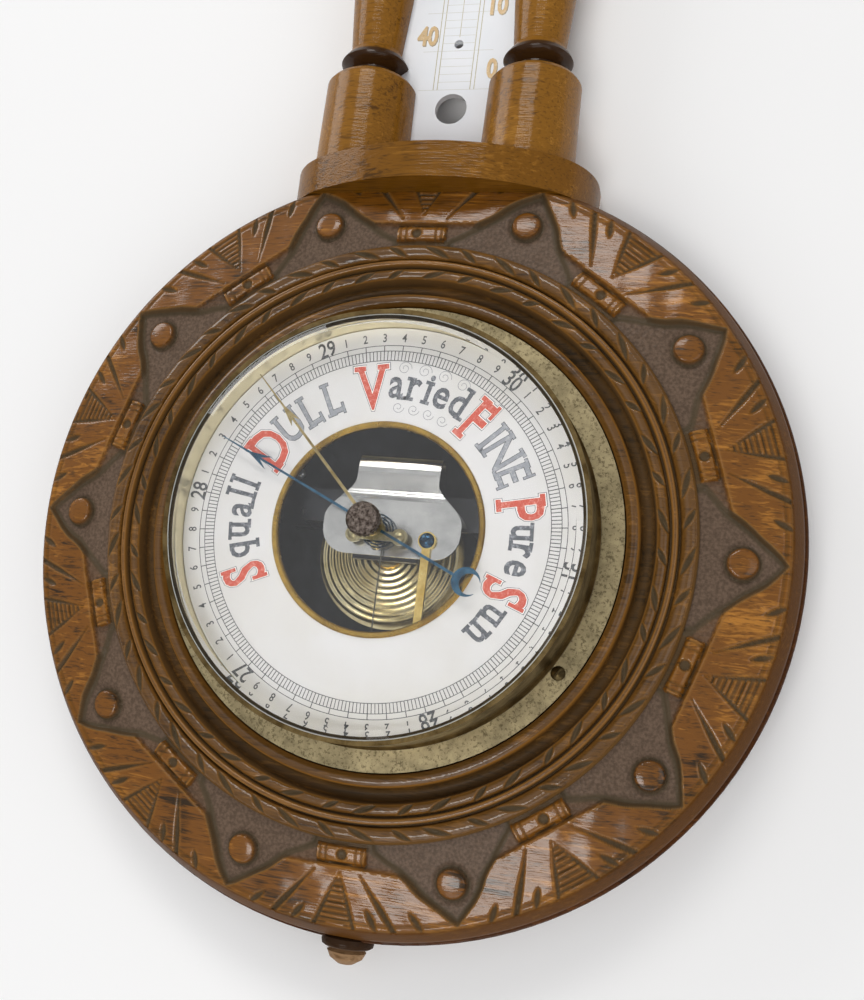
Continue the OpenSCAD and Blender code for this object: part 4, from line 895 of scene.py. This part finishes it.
def scroll(reach, turns, way):
    """A thin printed spiral about its own middle."""
    curve = bpy.data.curves.new("scroll", "CURVE")
    curve.dimensions = "3D"
    curve.bevel_depth = SCROLL_LINE * MM
    curve.bevel_resolution = 0
    curve.use_fill_caps = True
    line = curve.splines.new("POLY")
    line.points.add(SCROLL_STEPS)
    for n, point in enumerate(line.points):
        spin = way * 2 * math.pi * turns * n / SCROLL_STEPS
        out = reach * (1 - SCROLL_CLOSE * n / SCROLL_STEPS) * MM
        point.co = (out * math.cos(spin), out * math.sin(spin), 0, 1)
    piece = bpy.data.objects.new("scroll", curve)
    bpy.context.scene.collection.objects.link(piece)
    only(piece)
    bpy.ops.object.convert(target="MESH")
    piece = bpy.context.object
    piece.scale.z = SCROLL_FLAT
    bpy.ops.object.transform_apply()
    return piece


class BAROMETER_OT_dial_print(bpy.types.Operator):
    """Prints the scale, the numbers and plain weather words on the dial"""
    bl_idname = "barometer.dial_print"
    bl_label = "Dial printing"

    def execute(self, context):
        c = colours()
        black = ink("fired black ink", c.black_ink, "#7c7f84")
        grey = ink("fired grey ink", c.grey_ink, "#9da1a8")
        outer = size("scale_radius")
        band = [outer - inset for inset in BAND_INSETS]
        marks = [ticks(*band, FINE_W, FINE_TICKS * INCHES), ticks(band[0], outer, TENTH_W, 10 * INCHES)]
        marks += [circle_line(radius, CIRCLE_W) for radius in (*band, outer)]
        printed("dial_scale", black, marks)

        numbers = []
        for tenth in range(FIRST_INCH * 10, (FIRST_INCH + INCHES) * 10):
            inch, rest = divmod(tenth, 10)
            sign = letter(str(rest), *TENTH_TYPE) if rest else letter(str(inch), *INCH_TYPE)
            numbers.append(stamp(sign, outer + NUMBER_OUT, dial_angle(tenth / 10), PRINT_H, NARROW))
        printed("dial_numbers", black, numbers)

        layers = {layer: [] for layer in INITIAL_LAYERS}
        words, faces = [], []
        for word, first, second, last, type_size in WORDS:
            for level, (layer, bold) in enumerate(INITIAL_LAYERS.items()):
                layers[layer].append(stamp(letter(word[0], INITIAL, bold), WORD_R, math.radians(first),
                                           PRINT_H + level * PRINT_T, NARROWER))
            wide = [SLIM_STEP if sign in SLIM_LETTERS else 1.0 for sign in word[1:]]
            steps = np.cumsum([0] + [(p + q) / 2 for p, q in zip(wide, wide[1:])])
            for sign, step in zip(word[1:], steps):
                angle = math.radians(second + (last - second) * step / steps[-1])
                words.append(stamp(letter(sign, type_size, WORD_WEIGHT), WORD_R, angle, PRINT_H, NARROW))
                if sign.isupper():
                    faces.append(stamp(letter(sign, type_size), WORD_R, angle, PRINT_H + PRINT_T, NARROW))
        enamel = glaze("white enamel", "#f3f3f2", "#ebebe6", 0.25)
        printed("dial_initial_rims", grey, layers["rim"])
        printed("dial_initial_gaps", enamel, layers["gap"])
        printed("dial_initials", ink("fired red ink", c.red_ink, "#de9788"), layers["face"])
        printed("dial_words", grey, words)
        printed("dial_word_faces", ink("fired silver ink", "#90949b", "#b4b7bc"), faces)

        flourish = []
        for n in range(SCROLL_PAIRS):
            angle = math.radians(SCROLL_START + SCROLL_STEP * n)
            for reach, turns, way, out in SCROLLS:
                flourish.append(stamp(scroll(reach, turns, way), WORD_R + out, angle, PRINT_H))
        printed("dial_flourish", ink("fired pale ink", "#7d8188", "#a9acb2"), flourish)
        return {"FINISHED"}


# Thermometer scale: bottom and top level, step, and which steps are long and how far they reach
SCALE_LOW, SCALE_TOP, SCALE_STEP = 180.0, 332.0, 3.25
LONG_EVERY, LONG_REACH = 5, 14.0
# Places of its double lines, lowest level of the wire's line, and half widths of these lines and the steps
RAILS, WIRE_Z = (6.5, 8.1), 202.0
RAIL_HALF, WIRE_HALF, STEP_HALF = 0.16, 0.12, 0.09
# Columns of numbers: place across, first number and its level
NUMBERS = ((-13.0, 40, 203.0), (14.2, 0, 188.6))
# Most numbers in a column, rise and change from one to the next, room above the last, and type size
NUMBER_MOST, NUMBER_RISE, NUMBER_CHANGE, NUMBER_ROOM, NUMBER_SIZE = 8, 26.5, 10, 4, 11.0
# Each number is a gold face on a brown shade: added weight, and shift to the right and down
NUMBER_LAYERS = {"shade": (0.4, 0.35), "face": (0.34, 0.0)}


def plate_bar(x0, x1, z0, z1):
    """A thin printed bar on the thermometer plate."""
    return block(((x0 + x1) / 2, -PLATE_PRINT_H, (z0 + z1) / 2), (x1 - x0, PRINT_T, z1 - z0))


class BAROMETER_OT_plate_print(bpy.types.Operator):
    """Prints the thermometer scale on the opal plate"""
    bl_idname = "barometer.plate_print"
    bl_label = "Thermometer printing"

    def execute(self, context):
        rails = [plate_bar(side * place - RAIL_HALF, side * place + RAIL_HALF, SCALE_LOW, SCALE_TOP)
                 for side in (-1, 1) for place in RAILS]
        rails.append(plate_bar(-WIRE_HALF, WIRE_HALF, WIRE_Z, SCALE_TOP))
        printed("plate_rails", ink("worn olive ink", "#b3a988", "#cdc8b4", 0.35), rails)
        steps = []
        for n in range(int((SCALE_TOP - SCALE_LOW) / SCALE_STEP) + 1):
            z = SCALE_LOW + n * SCALE_STEP
            reach = RAILS[0] if n % LONG_EVERY else LONG_REACH
            steps.append(plate_bar(-reach, reach, z - STEP_HALF, z + STEP_HALF))
        printed("plate_steps", ink("faint olive ink", "#c9c9c1", "#d2d3d0", 0.35), steps)

        layers = {layer: [] for layer in NUMBER_LAYERS}
        for k in range(NUMBER_MOST):
            for x, first, low in NUMBERS:
                z = low + NUMBER_RISE * k
                if z > SCALE_TOP - NUMBER_ROOM:
                    continue
                for level, (layer, (bold, shift)) in enumerate(NUMBER_LAYERS.items()):
                    piece = letter(str(first + NUMBER_CHANGE * k), NUMBER_SIZE, bold)
                    stamp(piece, 0, 0, PLATE_PRINT_H + level * PRINT_T, NARROWER)
                    piece.location = Vector((x + shift, 0, z - shift)) * MM
                    bpy.ops.object.transform_apply()
                    layers[layer].append(piece)
        brown = ink("fired brown ink", "#9c8c6e", "#bdb29c", 0.35)
        gold = ink("fired gold ink", colours().gold_ink, "#dfc79b", 0.3)
        printed("plate_number_shades", brown, layers["shade"])
        printed("plate_numbers", gold, layers["face"])
        return {"FINISHED"}


# Metal, glass and movement, in mm

# Radius inside which the drum's wall is bright
BRIGHT_R = 73.1


class BAROMETER_OT_brasswork(bpy.types.Operator):
    """Tarnishes the flange, rings, screws and hanger, and darkens the bezel's brass for painted shade"""
    bl_idname = "barometer.brasswork"
    bl_label = "Brasswork"

    def execute(self, context):
        smooth(["drum_case"], metal("dull brass with a bright inner wall", "#b8a983", "#8f8365", 10, 0.42,
                                    "#5b5039", polish=(BRIGHT_R, "#eee3bd")))
        # The bezel's brass is darkened to paint the shade on its wall and the dark wood that it mirrors
        smooth(["bezel"], metal("dark brass with painted shade", "#84704a", "#544429", 8, 0.34))
        smooth(["hole_ring"], metal("polished brass", "#c9a449", "#93732c", 10, 0.22))
        dress(["flange_screws", "hanger_plate", "hanger_screws"],
              metal("brown aged brass", "#6d5e3f", "#413622", 3, 0.35))
        return {"FINISHED"}


class BAROMETER_OT_hands(bpy.types.Operator):
    """Finishes the set knob, the brass set hand and the blued hand"""
    bl_idname = "barometer.hands"
    bl_label = "Hands and knob"

    def execute(self, context):
        smooth(["set_knob"], metal("bronzed mottled brass", "#94887f", "#4b403a", 1.3, 0.42, "#2c231f"))
        dress(["set_hand", "set_spindle"], metal("pale brass", "#c3b07c", "#94814f", 6, 0.26))
        dress(["indicator_hand"], metal("heat blued steel", "#3f6f8c", "#254a63", 5, 0.3))
        return {"FINISHED"}


# Ridges rolled across the main spring's front leaf: their levels, half width and rise, and the rows of each
RIDGES, RIDGE_HALF, RIDGE_RISE, RIDGE_ROWS = (23.2, 13.0), 1.9, 0.3, 15
# Depths of its back leaf and of its front leaf, between which it bends
SPRING_BACK, SPRING_FRONT = 1.0, 2.8
# The capsule's middle, and its pressed rings: top level, depth in the part, inner radius, share of the depth
# that is kept, and a small margin about them
CAPSULE_X, CAPSULE_Z = -1.0, -5.0
RING_TOP, RING_RISE, RING_IN, RING_SHARE, RING_MARGIN = 20.7, 0.8, 5.5, 0.4, 0.01


def rolled_ridges(mesh):
    """Rolls two low ridges across the front leaf of the main spring, which catch the light as lines."""
    for ridge in RIDGES:
        for level in np.linspace(ridge - RIDGE_HALF, ridge + RIDGE_HALF, RIDGE_ROWS):
            edit_all()
            bpy.ops.mesh.bisect(plane_co=(0, 0, level * MM), plane_no=(0, 0, 1))
    bpy.ops.object.mode_set(mode="OBJECT")
    middle = sum(corner.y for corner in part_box("main_spring")) / 2
    for v in mesh.vertices:
        if v.co.y < middle:
            rise = sum(ease(RIDGE_HALF, 0, abs(v.co.z / MM - ridge)) for ridge in RIDGES)
            v.co.y -= RIDGE_RISE * MM * rise


def shallow_rings(mesh):
    """Presses the capsule's rings less deep, so that they mirror the room and not the dark drum."""
    for v in mesh.vertices:
        h = -v.co.y / MM
        off = math.hypot(v.co.x / MM - CAPSULE_X, v.co.z / MM - CAPSULE_Z)
        if off > RING_IN and RING_TOP - RING_RISE - RING_MARGIN < h < RING_TOP + RING_MARGIN:
            v.co.y = -(RING_TOP - RING_SHARE * (RING_TOP - h)) * MM


class BAROMETER_OT_movement(bpy.types.Operator):
    """Finishes the pieces of the open movement"""
    bl_idname = "barometer.movement"
    bl_label = "Movement"

    def execute(self, context):
        # In the real movement the spring's back leaf stays on the bridge while its front leaf moves with the
        # lever; here the copy is left on no body and does not bend
        front, back = (corner.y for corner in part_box("main_spring"))
        smooth(["main_spring"], metal("polished spring steel", "#dadad7", "#c0c1bf", 14, 0.13, axis=0),
               reshape=rolled_ridges,
               across=(CASE, "lever_arm", (0, back - SPRING_BACK * MM, 0), (0, front + SPRING_FRONT * MM, 0)))
        brass = metal("rolled capsule brass", "#f2e6ba", "#d3c088", 12, 0.14)
        smooth(["capsule"], brass, reshape=shallow_rings)
        smooth(["capsule_post"], brass)
        dress(["lever", "link"], metal("yellow brass", "#f0d688", "#cfad5c", 6, 0.26, axis=2))
        smooth(["arbor_cock", "cock_pillars", "cock_screws", "rocker_brackets"],
               metal("dull brass", "#b3aa87", "#857b58", 4, 0.34))
        dress(["rocker_shaft", "centre_arbor", "knife_edge", "spring_screws", "bridge_screws", "base_screws",
               "adjusting_screw"], metal("plain steel", "#b9bbbd", "#85888b", 6, 0.28))
        # The chain runs from the arbor, which stays in place, to the tip of the rocker's arm
        low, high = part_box("chain")
        smooth(["chain"], metal("dark chain steel", "#77756a", "#55534a", 3, 0.4),
               across=(CASE, "rocker", (0, 0, high.z), (0, 0, low.z)))
        dress(["lever_screw", "hairspring"], metal("dark blued steel", "#33566f", "#1d3245", 3, 0.22))
        dress(["bridge", "base_plate"], black_japan("dusty black japan"))
        return {"FINISHED"}


class BAROMETER_OT_glazing(bpy.types.Operator):
    """Finishes the glass, the porcelain dial and the opal plate"""
    bl_idname = "barometer.glazing"
    bl_label = "Glass and porcelain"

    def execute(self, context):
        smooth(["glass"], window_glass("clear bevelled glass"), 12)
        dress(["dial"], glaze("white porcelain", "#dadadb", "#d5d4d2", 0.22))
        dress(["thermometer_plate"], glaze("milk opal glass", "#e8eaee", "#e0e4e9", 0.12, 0.2))
        return {"FINISHED"}


# Stage, in metres

# The camera: picture size, focal length and middle in pixels, place, and its own three directions
PHOTO_W, PHOTO_H = 864, 1000
FOCAL_PX = 1155.99
CENTRE_PX = (367.23, 578.16)
CAMERA_AT = (0.10955, -0.42701, -0.06484)
CAMERA_RIGHT = (0.95679, 0.26159, 0.12694)
CAMERA_DOWN = (0.09012, 0.14826, -0.98483)
CAMERA_AHEAD = (-0.27645, 0.95372, 0.11828)
SENSOR_MM, NEAREST = 36.0, 0.01
# Soft lamps: name, place, aim, width, height, power in watts and tint
LAMPS = (
    ("window_left", (-1.4, -0.62, 1.28), (0, 0, 0.05), 0.9, 0.9, 10.2, "#ffffff"),
    ("lamp_high", (-0.05, -0.96, 0.9), (0, 0, 0.1), 0.62, 0.3, 4.0, "#fffdfa"),
    ("lamp_low", (-0.08, -1.18, -0.6), (0, 0, -0.1), 0.62, 0.36, 4.9, "#fffdfa"),
    ("floor_light", (0.3, -1.04, -1.7), (0, 0, -0.1), 1.6, 1.0, 6.0, "#ffffff"),
    ("wall_right", (1.45, -1.35, -0.1), (0, 0, 0), 1.2, 1.2, 3.6, "#ffffff"),
    ("ceiling", (-0.36, -1.25, 0.22), (0, 0, 0), 0.8, 0.6, 0.5, "#ffffff"),
    ("window_back", (0.7, 1.1, 0.8), (0, 0, 0.1), 1.0, 1.0, 9.0, "#ffffff"),
)
# Strength of the room's even light
ROOM_LEVEL = 0.375
# The table, and how close before it rays start that pass through it
TABLE_SIZE, TABLE_AT, NEAR_TABLE = 6, (0, 0.4 * MM, 0.1), 4 * MM


class BAROMETER_OT_stage(bpy.types.Operator):
    """Sets the table, the light and the camera"""
    bl_idname = "barometer.stage"
    bl_label = "Stage"

    def execute(self, context):
        scene = context.scene
        scene.view_settings.view_transform = "Standard"
        made, t, _ = blank("white table")
        # The table is seen from the front only, and not by rays from the back of the case close before it,
        # so that views from behind show that back in the light of the room
        matt = node(t, "ShaderNodeBsdfDiffuse", {"Color": linear(colours().table)})
        behind = node(t, "ShaderNodeBsdfTransparent")
        back = node(t, "ShaderNodeNewGeometry", out="Backfacing")
        ray = node(t, "ShaderNodeLightPath", out="Ray Length")
        near = node(t, "ShaderNodeMath", {0: ray, 1: NEAR_TABLE}, operation="LESS_THAN")
        gone = node(t, "ShaderNodeMath", {0: back, 1: near}, operation="MAXIMUM")
        mix = node(t, "ShaderNodeMixShader", {0: gone, 1: matt, 2: behind})
        node(t, "ShaderNodeOutputMaterial", {"Surface": mix})
        clear_selection()
        bpy.ops.mesh.primitive_plane_add(size=TABLE_SIZE, rotation=(math.pi / 2, 0, 0), location=TABLE_AT)
        table = bpy.context.object
        table.name = "table"
        table.data.materials.append(made)

        world = bpy.data.worlds.new("soft room")
        world.use_nodes = True
        room = world.node_tree
        room.nodes.clear()
        sky = node(room, "ShaderNodeBackground", {"Color": linear("#f7f8fb"), "Strength": ROOM_LEVEL})
        node(room, "ShaderNodeOutputWorld", {"Surface": sky})
        scene.world = world
        for name, place, aim, width, height, power, shade in LAMPS:
            bpy.ops.object.light_add(type="AREA", location=place)
            lamp = bpy.context.object
            lamp.name = name
            lamp.data.shape = "RECTANGLE"
            lamp.data.size = width
            lamp.data.size_y = height
            lamp.data.energy = power
            lamp.data.color = linear(shade)[:3]
            lamp.rotation_euler = (Vector(aim) - Vector(place)).to_track_quat("-Z", "Y").to_euler()
            lamp.visible_camera = False

        longest = max(PHOTO_W, PHOTO_H)
        lens = bpy.data.cameras.new("camera")
        lens.sensor_fit = "AUTO"
        lens.sensor_width = SENSOR_MM
        lens.lens = FOCAL_PX / longest * SENSOR_MM
        lens.shift_x = (PHOTO_W / 2 - CENTRE_PX[0]) / longest
        lens.shift_y = (CENTRE_PX[1] - PHOTO_H / 2) / longest
        lens.clip_start = NEAREST
        camera = bpy.data.objects.new("camera", lens)
        scene.collection.objects.link(camera)
        right, down, ahead = Vector(CAMERA_RIGHT), Vector(CAMERA_DOWN), Vector(CAMERA_AHEAD)
        turn = Matrix((right, -down, -ahead)).transposed()
        camera.matrix_world = Matrix.Translation(CAMERA_AT) @ turn.to_4x4()
        scene.camera = camera
        return {"FINISHED"}


class BAROMETER_PT_panel(bpy.types.Panel):
    """Lists the settings and the pieces in the sidebar of the 3D view"""
    bl_idname = "BAROMETER_PT_panel"
    bl_label = "Barometer"
    bl_space_type = "VIEW_3D"
    bl_region_type = "UI"
    bl_category = "Barometer"

    def draw(self, context):
        for group in (context.scene.barometer_sizes, context.scene.barometer_colours):
            for key in group.__annotations__:
                self.layout.prop(group, key)
        for operator in OPERATORS:
            self.layout.operator(operator.bl_idname)


OPERATORS = (
    BAROMETER_OT_carved_ring,
    BAROMETER_OT_woodwork,
    BAROMETER_OT_dial_print,
    BAROMETER_OT_plate_print,
    BAROMETER_OT_brasswork,
    BAROMETER_OT_hands,
    BAROMETER_OT_movement,
    BAROMETER_OT_glazing,
    BAROMETER_OT_stage,
)
CLASSES = (BarometerSizes, BarometerColours, *OPERATORS, BAROMETER_PT_panel)


def register():
    for item in CLASSES:
        bpy.utils.register_class(item)
    bpy.types.Scene.barometer_sizes = bpy.props.PointerProperty(type=BarometerSizes)
    bpy.types.Scene.barometer_colours = bpy.props.PointerProperty(type=BarometerColours)


def unregister():
    del bpy.types.Scene.barometer_colours
    del bpy.types.Scene.barometer_sizes
    for item in reversed(CLASSES):
        bpy.utils.unregister_class(item)


def main():
    register()
    for operator in OPERATORS:
        group, name = operator.bl_idname.split(".")
        getattr(getattr(bpy.ops, group), name)()


if __name__ == "__main__":
    main()
